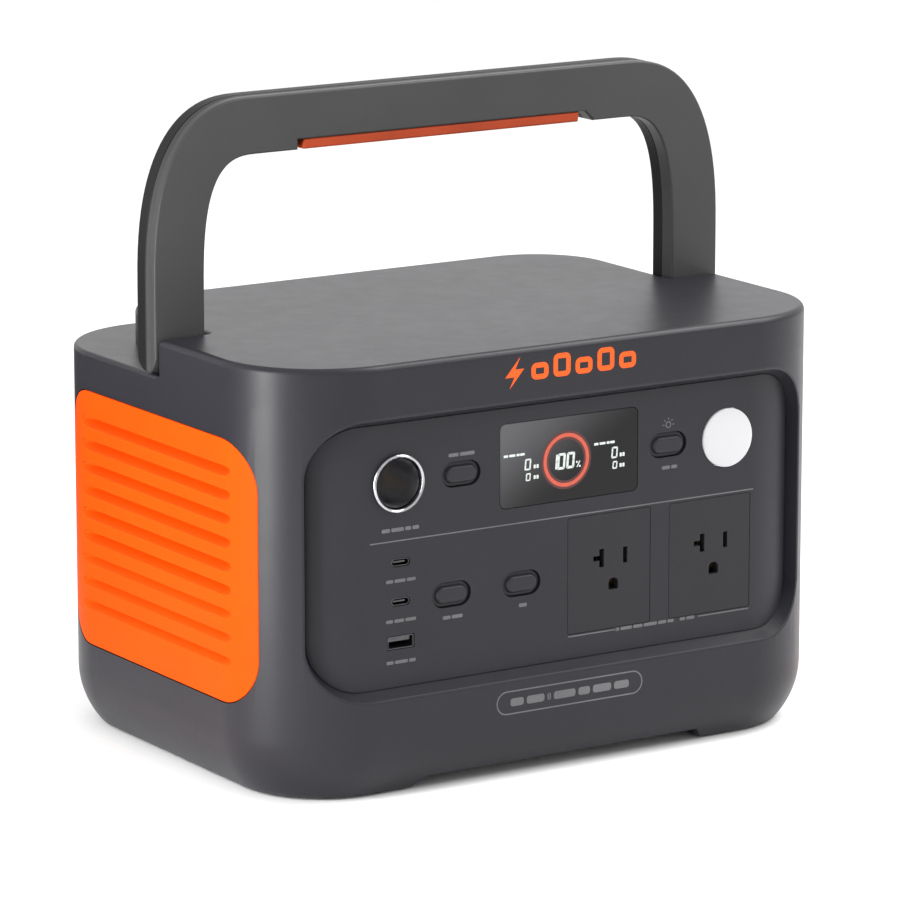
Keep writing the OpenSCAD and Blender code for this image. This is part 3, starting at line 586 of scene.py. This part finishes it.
def recess_corners():
    return rectangle(0, (RECESS_Z0 + RECESS_Z1)/2, 2*RECESS_HALF, RECESS_Z1 - RECESS_Z0, RECESS_R, 12)


def recess_cutter():
    """Recess with a rounded mouth and a sloped wall down to the panel, wider again behind it."""
    lip = 4.0
    corners = recess_corners()
    deep = PANEL_Y + HALF_D
    wall = ((7.4, -0.6), (4.4, 0.005), (3.7, 0.18), (3.1, 0.55), (0.35, deep - 0.3), (0, deep + 0.3))
    rings = [facing(outline(corners, -flare), depth - HALF_D) for flare, depth in wall]
    rings.append(facing(outline(corners, 0), PANEL_BACK))
    rings.append(facing(outline(corners, lip), PANEL_BACK))
    rings.append(facing(outline(corners, lip), PANEL_BACK + 6))
    return rings


def vent_corners(grow=0.0):
    width = 2*(VENT_HALF + grow)
    height = VENT_Z1 - VENT_Z0 + 2*grow
    return rectangle(0, (VENT_Z0 + VENT_Z1)/2, width, height, VENT_R + grow, 12)


REAR_PANEL = middle("rear_panel")
REAR_LOW, REAR_HIGH = box("rear_panel")


def rear_corners(grow=0.0):
    width = REAR_HIGH.x - REAR_LOW.x + 2*grow
    height = REAR_HIGH.z - REAR_LOW.z + 2*grow
    return rectangle(*REAR_PANEL, width, height, 10 + grow)


REAR_SCREWS_AT = [(x, z) for x in (-56, 56) for z in (79, 129)]
BASE_PLATE = rectangle(0, 0, 262, 181, 20)
SCREWS_AT = [(x, y) for x in (-124.5, 124.5) for y in (-68, 0, 68)]
FEET_AT = [(x, y) for x in (-100, 100) for y in (-60, 60)]


def underside_tools(screw_holes):
    """The space between the foot rails, with sloped sides, and the screw holes past it."""
    tool = Solid()
    slope = 5.0
    sections = []
    for y in (-HALF_D - 5, HALF_D + 5):
        sections.append([(-CHANNEL_HALF, y, -3), (CHANNEL_HALF, y, -3), (CHANNEL_HALF, y, FLOOR_GAP),
                         (CHANNEL_HALF - slope, y, UNDER_Z), (slope - CHANNEL_HALF, y, UNDER_Z),
                         (-CHANNEL_HALF, y, FLOOR_GAP)])
    tool.loft(sections)
    for x, y in SCREWS_AT:
        tool.loft([level(circle(x, y, r, 24), z) for r, z in screw_holes])
    return tool


def make_shell():
    shell = Solid().loft(body_rings(0.0, FLOOR_GAP)).build("shell", graphite)
    hollow = cutter(Solid().loft(body_rings(WALL, FLANGE_Z + WALL)))
    backing = outline(recess_corners(), -WALL)
    boolean(hollow, follow_corners(cutter(Solid().slab(backing, -HALF_D - 5, PANEL_BACK + 2))))
    boolean(shell, hollow)
    boolean(shell, cutter(underside_tools([(2.2, FLANGE_Z - 1), (2.2, FLANGE_Z + 6)])))
    boolean(shell, follow_corners(cutter(Solid().loft(recess_cutter()))))
    openings = Solid()
    for side in (-1, 1):
        windows = outline(vent_corners(VENT_GAP))
        openings.loft([sideways(windows, side*(HALF_W + 2)), sideways(windows, side*(HALF_W - 14))])
        bore = circle(SEAM_Y, PIVOT_Z, PIN_BORE_R, 32)
        openings.loft([sideways(bore, side*(PLATEAU_HALF - 5)), sideways(bore, side*(PLATEAU_HALF + 0.3))])
    openings.slab(outline(rear_corners(0.3)), HALF_D + 1, HALF_D - 6)
    plate_gap = level(outline(BASE_PLATE, -0.3), -1), level(outline(BASE_PLATE, -0.3), FLANGE_Z)
    flange = level(outline(BASE_PLATE, 13), FLANGE_Z), level(outline(BASE_PLATE, 13), FLANGE_Z + 5)
    openings.loft(plate_gap + flange)
    boolean(shell, cutter(openings))
    return mount(soften(shell, sharp=30), "body", "graphite_plastic", "main_shell")


def make_base_plate():
    """Bottom cover: two foot rails, pockets for the feet and counterbores for the screws."""
    rings = [level(outline(BASE_PLATE, draw_in), z) for draw_in, z in
             ((1.0, FLOOR_GAP), (0.3, FLOOR_GAP + 0.3), (0, FLOOR_GAP + 1.0), (0, FLANGE_Z - 0.05))]
    base = Solid().loft(rings).build("base_cover", graphite)
    boolean(base, cutter(underside_tools([(3.8, -1), (3.8, UNDER_Z - 0.2), (1.9, UNDER_Z - 0.2), (1.9, 12)])))
    pockets = Solid()
    for x, y in FEET_AT:
        pockets.loft([level(circle(x, y, 14.2), -1), level(circle(x, y, 14.2), 2.3)])
    boolean(base, cutter(pockets))
    return mount(soften(base, 0.3), "body", "graphite_plastic", "base_plate")


# ---- Side vent grilles ----


def louvre(z, depth, height):
    """Cutter for one louvre slot on the right side: deep at its top, flush at its bottom."""
    rings = []
    half, taper = 66.0, 9.0
    reach = [k/6 for k in range(7)]
    stations = [(-half + taper*t*t, t) for t in reach] + [(half - taper*t*t, t) for t in reversed(reach)]
    face = HALF_W - 0.1
    for y, t in stations:
        tall = height*(0.12 + 0.88*math.sqrt(1 - (1 - t)**2))
        deep = depth*(0.1 + 0.9*t)
        top, low = z + tall/2, z - tall/2
        rings.append([(face + 2, y, top + 0.35), (face, y, top), (face - deep, y, top - 0.1),
                      (face - deep, y, top - 0.42*tall), (face, y, low), (face + 2, y, low - 1.2)])
    return rings


def make_grille(side):
    """Cover that wraps the body's corners, trimmed to its window and cut by the louvre slots."""
    skin, inner = 0.1, 5.0
    centre_x, centre_y = HALF_W - CORNER_R, HALF_D - CORNER_R
    wrap = math.asin((VENT_HALF + 6 - centre_y)/(CORNER_R - skin))
    section = []
    for radius, order in ((CORNER_R - skin, 1), (CORNER_R - inner, -1)):
        arc = [wrap*(1 - k/14) for k in range(15)]
        half = [(centre_x + radius*math.cos(a), centre_y + radius*math.sin(a)) for a in arc]
        path = half + [(x, -y) for x, y in reversed(half)]
        section += path[::order]
    name = "vent_grille_" + ("left" if side < 0 else "right")
    blank = Solid().loft([level(section, VENT_Z0 - 5), level(section, VENT_Z1 + 5)])
    grille = blank.build(name + "_cover", orange)
    window = outline(vent_corners())
    trim = Solid().loft([sideways(window, HALF_W + 5), sideways(window, HALF_W - 20)])
    boolean(grille, cutter(trim), "INTERSECT")
    slots = Solid()
    for i in range(LOUVRES):
        depth, height = (3.2, 4.2) if i < SHALLOW_LOUVRES else (4.3, 4.8)
        slots.loft(louvre(LOUVRE_Z0 + i*LOUVRE_PITCH, depth, height))
    boolean(grille, cutter(slots))
    if side < 0:
        for vertex in grille.data.vertices:
            vertex.co.x = -vertex.co.x
        grille.data.flip_normals()
    return mount(soften(grille, 0.35), "body", "orange_plastic", name)


# ---- Carry handle ----


def bow(half, top, shape, inset, foot, steps=24):
    """Right side of an arch from its foot to its top: a small foot round, then a superellipse quarter.

    shape holds the quarter's width, height and power. A positive inset moves it towards the middle.
    """
    width, height, power = shape
    x, way = half - inset, 1 if inset >= 0 else -1
    points = [Vector((x - 0.9*way, foot)), Vector((x - 0.26*way, foot + 0.26)), Vector((x, foot + 0.9))]
    for k in range(steps + 1):
        angle = math.pi/2*k/steps
        u, v = max(math.cos(angle), 0.0)**(2/power), math.sin(angle)**(2/power)
        out = Vector((u**(power - 1)/width, v**(power - 1)/height)).normalized()
        points.append(Vector((half - width + width*u, top - height + height*v)) - out*inset)
    return points


def mirrored(points):
    return [Vector((-p.x, p.y)) for p in points]


def arch(y, inset, grow):
    """Upright outline of the handle at depth y, with its feet rounded about the hinge axis.

    inset draws in the outside and grow widens the opening with the notch for the grip pad.
    """
    foot = PIVOT_Z - math.sqrt(max(END_R**2 - (y - SEAM_Y)**2, 0.0))
    outer = bow(ARM_OUT, ARCH_TOP, BOW_OUT, inset, foot)
    inner = bow(ARM_IN, BAR_Z, BOW_IN, -max(grow, 0.001), foot)
    left, right = NOTCH_LEFT - grow, NOTCH_RIGHT + grow
    notch = [Vector(p) for p in ((left, BAR_Z + grow), (left, NOTCH_Z + grow),
                                 (right - NOTCH_SLOPE, NOTCH_Z + grow), (right, BAR_Z + grow))]
    return facing(outer + mirrored(outer[::-1]) + mirrored(inner) + notch + inner[::-1], y)


def at_depth(profile, y):
    """Outer and inner inset at y, from a profile of (y, outer, inner)."""
    for (y0, *near), (y1, *far) in zip(profile, profile[1:]):
        if y0 <= y <= y1:
            t = (y - y0)/(y1 - y0)
            return [a + (b - a)*t for a, b in zip(near, far)]
    return profile[-1][1:]


def handle_half(name, profile, finish, slot, node):
    """One half of the handle from a depth profile, with its hinge bores and screw holes."""
    first, last = profile[0][0], profile[-1][0]
    depths = {row[0] for row in profile}
    for k in range(19):
        y = SEAM_Y - END_R*math.cos(math.pi*k/18)
        if first < y < last and min(abs(y - d) for d in depths) > 0.08:
            depths.add(y)
    rings = [arch(y, *at_depth(profile, y)) for y in sorted(depths)]
    half = Solid().loft(rings).build(name, finish)
    holes = Solid()
    for side in (-1, 1):
        bore = circle(SEAM_Y, PIVOT_Z, BUSHING_BORE_R, 40)
        holes.loft([sideways(bore, side*(ARM_IN - 1)), sideways(bore, side*(ARM_OUT - 3))])
    if last > SEAM_Y + 1:
        arm = ARM_IN + ARM_W/2
        spots = [(side*arm, z) for side in (-1, 1) for z in HANDLE_SCREW_Z]
        spots += [(side*HANDLE_SCREW_X, ARCH_TOP - 9) for side in (-1, 1)]
        for x, z in spots:
            steps = ((2.0, SEAM_Y - 1), (2.0, last - 3.4), (3.6, last - 3.4), (3.6, last - 0.3),
                     (4.0, last + 0.1), (4.0, last + 1))
            holes.loft([facing(circle(x, z, r, 32), y) for r, y in steps])
    boolean(half, cutter(holes))
    return mount(soften(half, sharp=28), "handle", slot, node)


def round_edge(y, direction, radius, steps=4):
    """Profile rows of an edge round that ends at y; direction is 1 towards +Y and -1 towards -Y."""
    rows = [(y - direction*(radius - rise), draw_in, draw_in) for draw_in, rise in quarter(radius, steps)]
    return rows if direction > 0 else rows[::-1]


def make_handle():
    """Front and rear halves, with a groove in the front one, and the grip pad under the bar."""
    front = round_edge(HANDLE_FRONT, -1, 1.0)
    front += [(-0.62, 0.0, 0.0), (-0.36, 0.25, 0.0), (-0.30, 1.25, 0.0), (SEAM_Y - 0.35, 0.15, 0.0),
              (SEAM_Y - 0.02, 0.4, 0.3)]
    handle_half("handle_front", front, handle_front_finish, "graphite_plastic", "handle_front_shell")
    rear = [(SEAM_Y + 0.02, 0.4, 0.3), (SEAM_Y + 0.4, 0.0, 0.0)] + round_edge(HANDLE_REAR, 1, 1.4)
    handle_half("handle_rear", rear, handle_rear_finish, "handle_dark_plastic", "handle_rear_shell")
    y0, y1, edge = HANDLE_FRONT + 0.35, HANDLE_REAR - 0.35, 1.0
    top = NOTCH_Z - 0.1
    pad = [(PAD_LEFT, BAR_Z, 1.2, 4), (PAD_RIGHT, BAR_Z, 0.6, 3),
           (PAD_RIGHT + 0.5, top, 0.3, 2), (PAD_LEFT + 1.4, top, 1.5, 4)]
    rings = [facing(outline(pad, draw_in), y0 + edge - rise) for draw_in, rise in reversed(quarter(edge, 4))]
    rings += [facing(outline(pad, draw_in), y1 - edge + rise) for draw_in, rise in quarter(edge, 4)]
    grip = soften(Solid().loft(rings).build("grip_pad", grip_orange_painted_shade), sharp=40)
    mount(grip, "handle", "orange_rubber", "handle_grip")


# ---- Control panel ----

SOCKET = middle("car_socket_ring")
LENS = middle("light_lens")
DISPLAY = middle("display_window")
OUTLETS = ("outlet_left", "outlet_right")
OUTLET_X = [middle("outlet_contacts_left")[0], middle("outlet_contacts_right")[0]]
OUTLET_Z = middle("outlet_left")[1] + 1.9
USB_C = [middle("usb_c_port_upper"), middle("usb_c_port_lower")]
USB_A = middle("usb_a_port")
BUTTONS = ("power_button", "light_button", "dc_usb_button", "ac_button")


def outlet_holes(x, z, grow=0.0):
    """T-shaped and straight blade slots, and an earth hole with a flat bottom."""
    left, right, blade = x - 6.35, x + 6.35, z + 4.4
    tip, near, far = left - 4.4 - grow, left - 1.15 - grow, left + 1.15 + grow
    arm, stem = 1.1 + grow, 4.1 + grow
    tee = [(tip, blade - arm), (near, blade - arm), (near, blade - stem), (far, blade - stem),
           (far, blade + stem), (near, blade + stem), (near, blade + arm), (tip, blade + arm)]
    straight = outline(rectangle(right, blade, 2.1 + 2*grow, 7.2 + 2*grow, 0.2, 2))
    half, bottom, top = 2.5 + grow, z - 10.6 - grow, z - 5.4 + grow
    earth = outline([(x - half, bottom, 0.4, 2), (x + half, bottom, 0.4, 2),
                     (x + half, top, 2.2 + grow, 6), (x - half, top, 2.2 + grow, 6)])
    return [tee, straight, earth]


def make_panel():
    """Panel plate with an opening for each device, bent round the body's corners at its ends."""
    holes = [circle(*SOCKET, 12.2), circle(*LENS, 13.8, 64)]
    holes += [outline(pill(*middle(name), 20.1, 11.4)) for name in BUTTONS]
    holes += [outline(pill(*place, 9.6, 3.8)) for place in USB_C]
    holes.append(outline(rectangle(*USB_A, 14.0, 6.2, 0.4, 3)))
    holes += [outline(rectangle(*middle(name), 44.6, 53.2, 1.1, 3)) for name in OUTLETS]
    holes.append(outline(rectangle(*DISPLAY, 73.4, 38.4, 3.0)))
    outer = outline(recess_corners(), 0.1)
    panel = plate("control_panel", outer, holes, PANEL_Y, PANEL_BACK - PANEL_Y, 0.2, panel_finish)
    mount(follow_corners(panel), "body", "panel_plastic", "front_panel")


def make_buttons():
    """Caps with a raised pill in a shallow moat."""
    rows = ((0.0, 3.0), (0.0, 1.35), (0.5, 1.15), (1.3, 1.15), (1.7, 0.75), (2.0, -0.1),
            (2.2, -0.42), (2.6, -0.6), (3.2, -0.68))
    for name in BUTTONS:
        corners = pill(*middle(name), 19.5, 10.8)
        cap = Solid().loft([facing(outline(corners, draw_in), PANEL_Y + y) for draw_in, y in rows])
        mount(soften(cap.build(name + "_cap", button_finish), sharp=40), name, "panel_plastic", name)


def make_socket():
    """Rounded chrome bezel and drawn barrel of the 12 V socket."""
    y = PANEL_Y
    ring = ((11.4, y + 0.9), (11.4, y - 0.9), (11.65, y - 1.6), (12.3, y - 1.95), (12.9, y - 1.65),
            (13.25, y - 0.9), (13.25, y), (12.0, y), (12.0, y + 0.9))
    bezel = Solid().lathe(ring, *SOCKET, True).build("socket_bezel", chrome)
    mount(soften(bezel, sharp=50), "body", "chrome_trim", "car_socket_ring")
    end = box("car_socket_barrel")[1].y
    tube = ((11.35, y + 1.3), (10.7, y + 0.2), (10.5, y + 1.0), (10.5, y + 38), (4.0, y + 38.4),
            (4.0, end), (11.35, end))
    barrel = Solid().lathe(tube, *SOCKET, True).build("socket_barrel", dark_nickel)
    mount(soften(barrel, sharp=50), "body", "port_steel", "car_socket_barrel")


def make_lens():
    """Domed diffuser of the work light, on a straight rim."""
    y, radius, rise = PANEL_Y, 13.5, 1.05
    angles = [math.radians(k*9) for k in range(1, 11)]
    dome = [(radius*math.cos(a), y - 0.45 - rise*math.sin(a)) for a in angles]
    profile = [(radius, y + 2), (radius, y - 0.3)] + dome
    lens = Solid().lathe(profile, *LENS).build("light_diffuser", diffuser)
    mount(soften(lens, sharp=50), "body", "light_diffuser", "light_lens")


def make_outlets():
    """Slotted outlet faces, each with a housing for its contacts behind it."""
    face_depth, housing_depth = 3.0, 19.0
    for name, x in zip(OUTLETS, OUTLET_X):
        face = outline(rectangle(*middle(name), 44.4, 53.0, 1.0, 3))
        holes = outlet_holes(x, OUTLET_Z)
        front = plate(name + "_face", face, holes, PANEL_Y + 0.05, face_depth, 0.3, outlet_finish)
        mount(front, "body", "outlet_plastic", name)
        block = outline(rectangle(x, OUTLET_Z, 34, 28, 2.0, 4))
        holes = outlet_holes(x, OUTLET_Z, 0.8)
        house = plate(name + "_housing", block, holes, PANEL_Y + 3.05, housing_depth, 0.2, black_plastic)
        mount(house, "body", "black_plastic")


def make_ports():
    """Metal mouths of the USB ports, with their tongues."""
    for name, place in (("usb_c_port_upper", USB_C[0]), ("usb_c_port_lower", USB_C[1])):
        port = Solid().frame(pill(*place, 9.0, 3.2), 0.3, PANEL_Y + 0.6, PANEL_Y + 9)
        port.slab(outline(pill(*place, 8.4, 2.6), 0.02), PANEL_Y + 8.4, PANEL_Y + 9)
        port.slab(outline(rectangle(*place, 6.2, 0.7, 0.2, 2)), PANEL_Y + 1.8, PANEL_Y + 8.4)
        mount(soften(port.build(name + "_mouth", port_steel)), "body", "port_steel", name)
    x, z = USB_A
    port = Solid().frame(rectangle(x, z, 13.2, 5.6, 0.4, 3), 0.35, PANEL_Y + 0.4, PANEL_Y + 13.5)
    port.slab(outline(rectangle(x, z, 12.4, 4.8, 0.2, 3)), PANEL_Y + 12.9, PANEL_Y + 13.5)
    port.slab(outline(rectangle(x, z + 1.2, 11.0, 1.8, 0.2, 2)), PANEL_Y + 1.8, PANEL_Y + 12.9)
    mount(soften(port.build("usb_a_port_mouth", port_steel)), "body", "port_steel", "usb_a_port")


# ---- Display ----

SEGMENTS = {"0": "abcdef", "1": "bc"}


def digit(solid, value, x, z, width, height, stroke, y):
    """A seven-segment numeral round (x, z), leaning a little to the right."""
    w, h = width/2, height/2
    bars = {"a": (-w, h, w, h), "b": (w, h, w, 0), "c": (w, 0, w, -h), "d": (-w, -h, w, -h),
            "e": (-w, -h, -w, 0), "f": (-w, 0, -w, h)}
    lean = 0.08
    for key in SEGMENTS[value]:
        x0, z0, x1, z1 = bars[key]
        wide, tall = (x1 - x0 + stroke*0.4, stroke) if z0 == z1 else (stroke, abs(z1 - z0) + stroke*0.4)
        points = outline(rectangle((x0 + x1)/2, (z0 + z1)/2, wide, tall, stroke*0.35, 2))
        solid.slab([(x + p[0] + lean*p[1], z + p[1]) for p in points], y - 0.04, y)


def make_display():
    """Smoked cover with a lit ring and its halo, a percentage in the ring and a readout each side."""
    y = PANEL_Y + 0.1
    outer = outline(rectangle(*DISPLAY, 73.0, 38.0, 2.8))
    cover = plate("display_cover", outer, [], y, 1.5, 0.3, smoked_glass_painted_reflection())
    mount(cover, "body", "smoked_window", "display_window")
    x, z = DISPLAY[0] - 1.6, DISPLAY[1] - 0.7
    ring = Solid().frame(hoop(x, z, 12.1), 1.7, y - 0.05, y)
    mount(ring.build("display_ring", ring_glow), "body", "display_black")
    halo = Solid().frame(hoop(x, z, 13.2), 3.9, y - 0.02, y)
    mount(halo.build("display_ring_halo", halo_glow), "body", "display_black")
    marks = Solid()
    for value, dx in (("1", -6.6), ("0", -2.6), ("0", 2.3)):
        digit(marks, value, x + dx, z - 0.4, 3.1, 6.2, 1.15, y)
    for dx, dz in ((5.6, -1.6), (7.2, -3.6)):
        marks.slab(circle(x + dx, z + dz, 0.5, 12), y - 0.04, y)
    slash = ((5.4, -3.9), (6.0, -3.9), (7.5, -1.2), (6.9, -1.2))
    marks.slab([(x + dx, z + dz) for dx, dz in slash], y - 0.04, y)
    for bar, number, unit in ((-27.6, -20.3, -16.0), (20.2, 25.8, 29.8)):
        for start, width in ((0, 2.3), (2.9, 3.2), (6.7, 1.6), (8.6, 2.4)):
            centre = x + bar - 5.4 + start + width/2
            marks.slab(outline(rectangle(centre, z + 5.2, width, 1.1, 0.25, 2)), y - 0.04, y)
        digit(marks, "0", x + number, z + 0.3, 2.5, 4.4, 0.75, y)
        digit(marks, "0", x + number + 0.2, z - 5.4, 1.9, 2.9, 0.6, y)
        for dz in (-1.0, -5.8):
            for dx in (-0.7, 0.8):
                marks.slab(outline(rectangle(x + unit + dx, z + dz, 1.1, 1.7, 0.2, 2)), y - 0.04, y)
    mount(marks.build("display_numerals", white_glow), "body", "display_black")


# ---- Printed marks: plain dashes and simple signs that spell nothing ----


def dashes(solid, x, z, pattern, height, y, gap=0.7):
    """A centred row of short bars; pattern lists their lengths."""
    total = sum(pattern) + gap*(len(pattern) - 1)
    left = x - total/2
    for length in pattern:
        solid.slab(outline(rectangle(left + length/2, z, length, height, height*0.3, 2)), y - 0.05, y)
        left += length + gap


def make_panel_marks():
    """Divider line, dashes for the labels, a line under the outlets and a small sun sign."""
    marks = Solid()
    y = PANEL_Y
    dashes(marks, 0.9, 114.3, (204,), 0.55, y)
    dashes(marks, SOCKET[0] + 1.2, SOCKET[1] - 20.6, (4.2, 6.4, 3.0, 3.4), 1.7, y)
    power, light = middle("power_button"), middle("light_button")
    dc_usb, ac = middle("dc_usb_button"), middle("ac_button")
    dashes(marks, power[0] + 0.2, power[1] + 8.8, (5.2, 7.6), 1.6, y)
    dashes(marks, light[0] + 1.0, light[1] - 10.4, (4.4, 3.2), 1.6, y)
    for port, drop, pattern in ((USB_C[0], 8.1, (3.6, 5.6, 4.6)), (USB_C[1], 8.4, (3.6, 5.0, 5.4)),
                                (USB_A, 8.7, (3.6, 6.6, 3.4))):
        dashes(marks, port[0], port[1] - drop, pattern, 1.5, y)
    dashes(marks, dc_usb[0] + 0.6, dc_usb[1] - 10.2, (4.0, 5.6), 1.6, y)
    dashes(marks, ac[0] + 0.8, ac[1] - 9.9, (4.2,), 1.7, y)
    foot = OUTLET_Z - 29.4
    for centre, pattern, height in ((15.4, (26,), 0.55), (43.6, (2.2, 6.2, 5.0, 7.2, 4.4, 3.4), 1.5),
                                    (66.9, (3.0, 4.4), 1.5), (86.9, (28,), 0.55)):
        dashes(marks, centre, foot, pattern, height, y)
    x, z = light[0] + 0.2, light[1] + 9.1
    marks.frame(hoop(x, z, 1.5, 8), 0.45, y - 0.05, y)
    for k in range(5):
        angle = math.pi*k/4
        c, s = math.cos(angle), math.sin(angle)
        ray = [(2.2, -0.22), (3.2, -0.22), (3.2, 0.22), (2.2, 0.22)]
        marks.slab([(x + a*c - b*s, z + a*s + b*c) for a, b in ray], y - 0.05, y)
    mount(follow_corners(marks.build("panel_marks", ink)), "body", "panel_plastic")


def make_body_marks():
    """Framed dashes low on the front, and an orange bolt with a row of plain loops above the panel."""
    y = -HALF_D
    x, z = -0.8, 35.2
    badge = Solid().frame(pill(x, z, 78, 10.8), 0.6, y - 0.05, y)
    dashes(badge, x, z, (7.0, 9.4, 1.8, 11.5, 6.2, 9.8, 8.0), 3.6, y, 1.6)
    mount(badge.build("badge_marks", ink), "body", "graphite_plastic")
    sign = Solid()
    x, z = -31, 183.4
    bolt = ((-2.4, -7), (5.2, 1.6), (0.6, 1.6), (3.2, 7), (-4.6, -1.8), (0.2, -1.8))
    sign.slab([(x + dx, z + dz) for dx, dz in bolt], y - 0.06, y)
    first, pitch, width = -17.5, 11.6, 9.0
    for k in range(5):
        lift, height = (1.2, 10.4) if k % 2 else (-0.3, 7.4)
        loop = rectangle(first + k*pitch, z + lift, width, height, 2.6, 6)
        sign.frame(loop, 2.3, y - 0.06, y)
    mount(sign.build("front_sign", orange_ink), "body", "orange_plastic")


# ---- Rear panel ----


def make_rear_panel():
    """Plate with the mains inlet and the DC socket, each with a printed border and dashes."""
    inlet, dc_in = middle("ac_inlet"), middle("dc_input_socket")
    holes = [outline(rectangle(*inlet, 28.4, 20.4, 1.0, 3)), circle(*dc_in, 6.2)]
    holes += [circle(x, z, 3.2, 24) for x, z in REAR_SCREWS_AT]
    thickness = REAR_HIGH.y - REAR_LOW.y
    panel = plate("rear_cover", outline(rear_corners()), holes, REAR_LOW.y, thickness, 0.4, panel_finish)
    mount(panel, "body", "panel_plastic", "rear_panel")
    y = REAR_HIGH.y + 0.05
    marks = Solid().frame(rectangle(inlet[0], inlet[1], 44, 40, 5), 0.5, y - 0.05, y)
    marks.frame(rectangle(dc_in[0], dc_in[1], 34, 40, 5), 0.5, y - 0.05, y)
    dashes(marks, inlet[0], 86.5, (6, 4, 7), 1.7, y)
    dashes(marks, dc_in[0], 91.5, (5, 6.5), 1.7, y)
    mount(marks.build("rear_marks", ink), "body", "panel_plastic")


# ---- Finishes of the CAD nodes that stay ----

CAD_FINISHES = (
    (black_rubber, ("rubber_feet",)),
    (steel, ("base_screws", "rear_screws", "handle_screws", "hinge_pins", "hinge_washers",
             "hinge_brackets", "hinge_clips", "ac_inlet_pins")),
    (bronze, ("hinge_bushings",)),
    (brass, ("car_socket_contact", "outlet_contacts_left", "outlet_contacts_right")),
    (black_plastic, ("car_socket_base", "button_switches", "ac_inlet", "dc_input_socket", "cell_holder_front",
                     "cell_holder_rear", "electronics_deck", "fan_frame_left", "fan_frame_right",
                     "fan_rotor_left", "fan_rotor_right", "display_module")),
    (chrome, ("light_reflector",)),
    (board_green, ("display_board", "light_board", "usb_board", "bms_board", "inverter_board")),
    (cell_blue, ("battery_cells",)),
    (nickel, ("bus_bars",)),
    (aluminium, ("heat_sinks",)),
    (copper, ("transformer",)),
    (capacitor_sleeve, ("capacitors",)),
    (lead_red, ("power_leads",)),
)


def finish_cad_nodes():
    for material, names in CAD_FINISHES:
        for name in names:
            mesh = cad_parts[name].data
            mesh.materials.clear()
            mesh.materials.append(material)


# ---- Stage and light ----


def sheet(name, corners, material):
    """A flat stage sheet with the given corners in metres."""
    mesh = bpy.data.meshes.new(name)
    mesh.from_pydata(corners, [], [tuple(range(len(corners)))])
    mesh.materials.append(material)
    piece = bpy.data.objects.new(name, mesh)
    scene.collection.objects.link(piece)


def make_stage():
    """Pale floor, and a black card on it that darkens the left side. The camera doesn't see the card."""
    pale, tree, shader = new_material("floor")
    tone = two_tone(tree, noise(tree, 300, 2.0), (0.95, 0.95, 0.95), (0.97, 0.97, 0.97))
    tree.links.new(tone, shader.inputs["Base Color"])
    shader.inputs["Roughness"].default_value = 0.9
    shader.inputs["Specular IOR Level"].default_value = 0.1
    reach = 14.0
    sheet("floor", [(-reach, -reach, 0), (reach, -reach, 0), (reach, reach, 0), (-reach, reach, 0)], pale)
    black = plastic("black_card", (0.01, 0.01, 0.01), 0.9)
    lift = 0.001
    spots = ((-0.334, 0.035), (-1.173, 0.393), (-0.366, 1.658), (0.164, 0.963))
    sheet("card", [(x, y, lift) for x, y in spots], black)


def soft_light(name, place, aim, size, power):
    data = bpy.data.lights.new(name, "AREA")
    data.shape = "RECTANGLE"
    data.size, data.size_y = size
    data.energy = power
    light = bpy.data.objects.new(name, data)
    light.location = place
    light.rotation_euler = (Vector(aim) - Vector(place)).to_track_quat("-Z", "Y").to_euler()
    scene.collection.objects.link(light)


def make_light():
    world = bpy.data.worlds.new("studio")
    world.use_nodes = True
    world.node_tree.nodes["Background"].inputs["Color"].default_value = (1, 1, 1, 1)
    world.node_tree.nodes["Background"].inputs["Strength"].default_value = 1.02
    scene.world = world
    scene.view_settings.view_transform = "Standard"
    soft_light("overhead", (0.68, -0.25, 1.1), (0, 0, 0.1), (0.6, 0.7), 11.0)
    soft_light("key", (0.8, -0.8, 0.85), (0, 0, 0.25), (0.4, 0.4), 4.0)
    soft_light("left_strip", (-0.5, -0.1, 0.17), (0, -0.06, 0.07), (0.12, 0.34), 2.2)
    soft_light("back", (0.7, 1.1, 0.62), (0, 0, 0.2), (1.2, 0.55), 1.0)


make_shell()
make_base_plate()
make_grille(-1)
make_grille(1)
make_handle()
make_panel()
make_buttons()
make_socket()
make_lens()
make_outlets()
make_ports()
make_display()
make_panel_marks()
make_body_marks()
make_rear_panel()
finish_cad_nodes()
make_stage()
make_light()
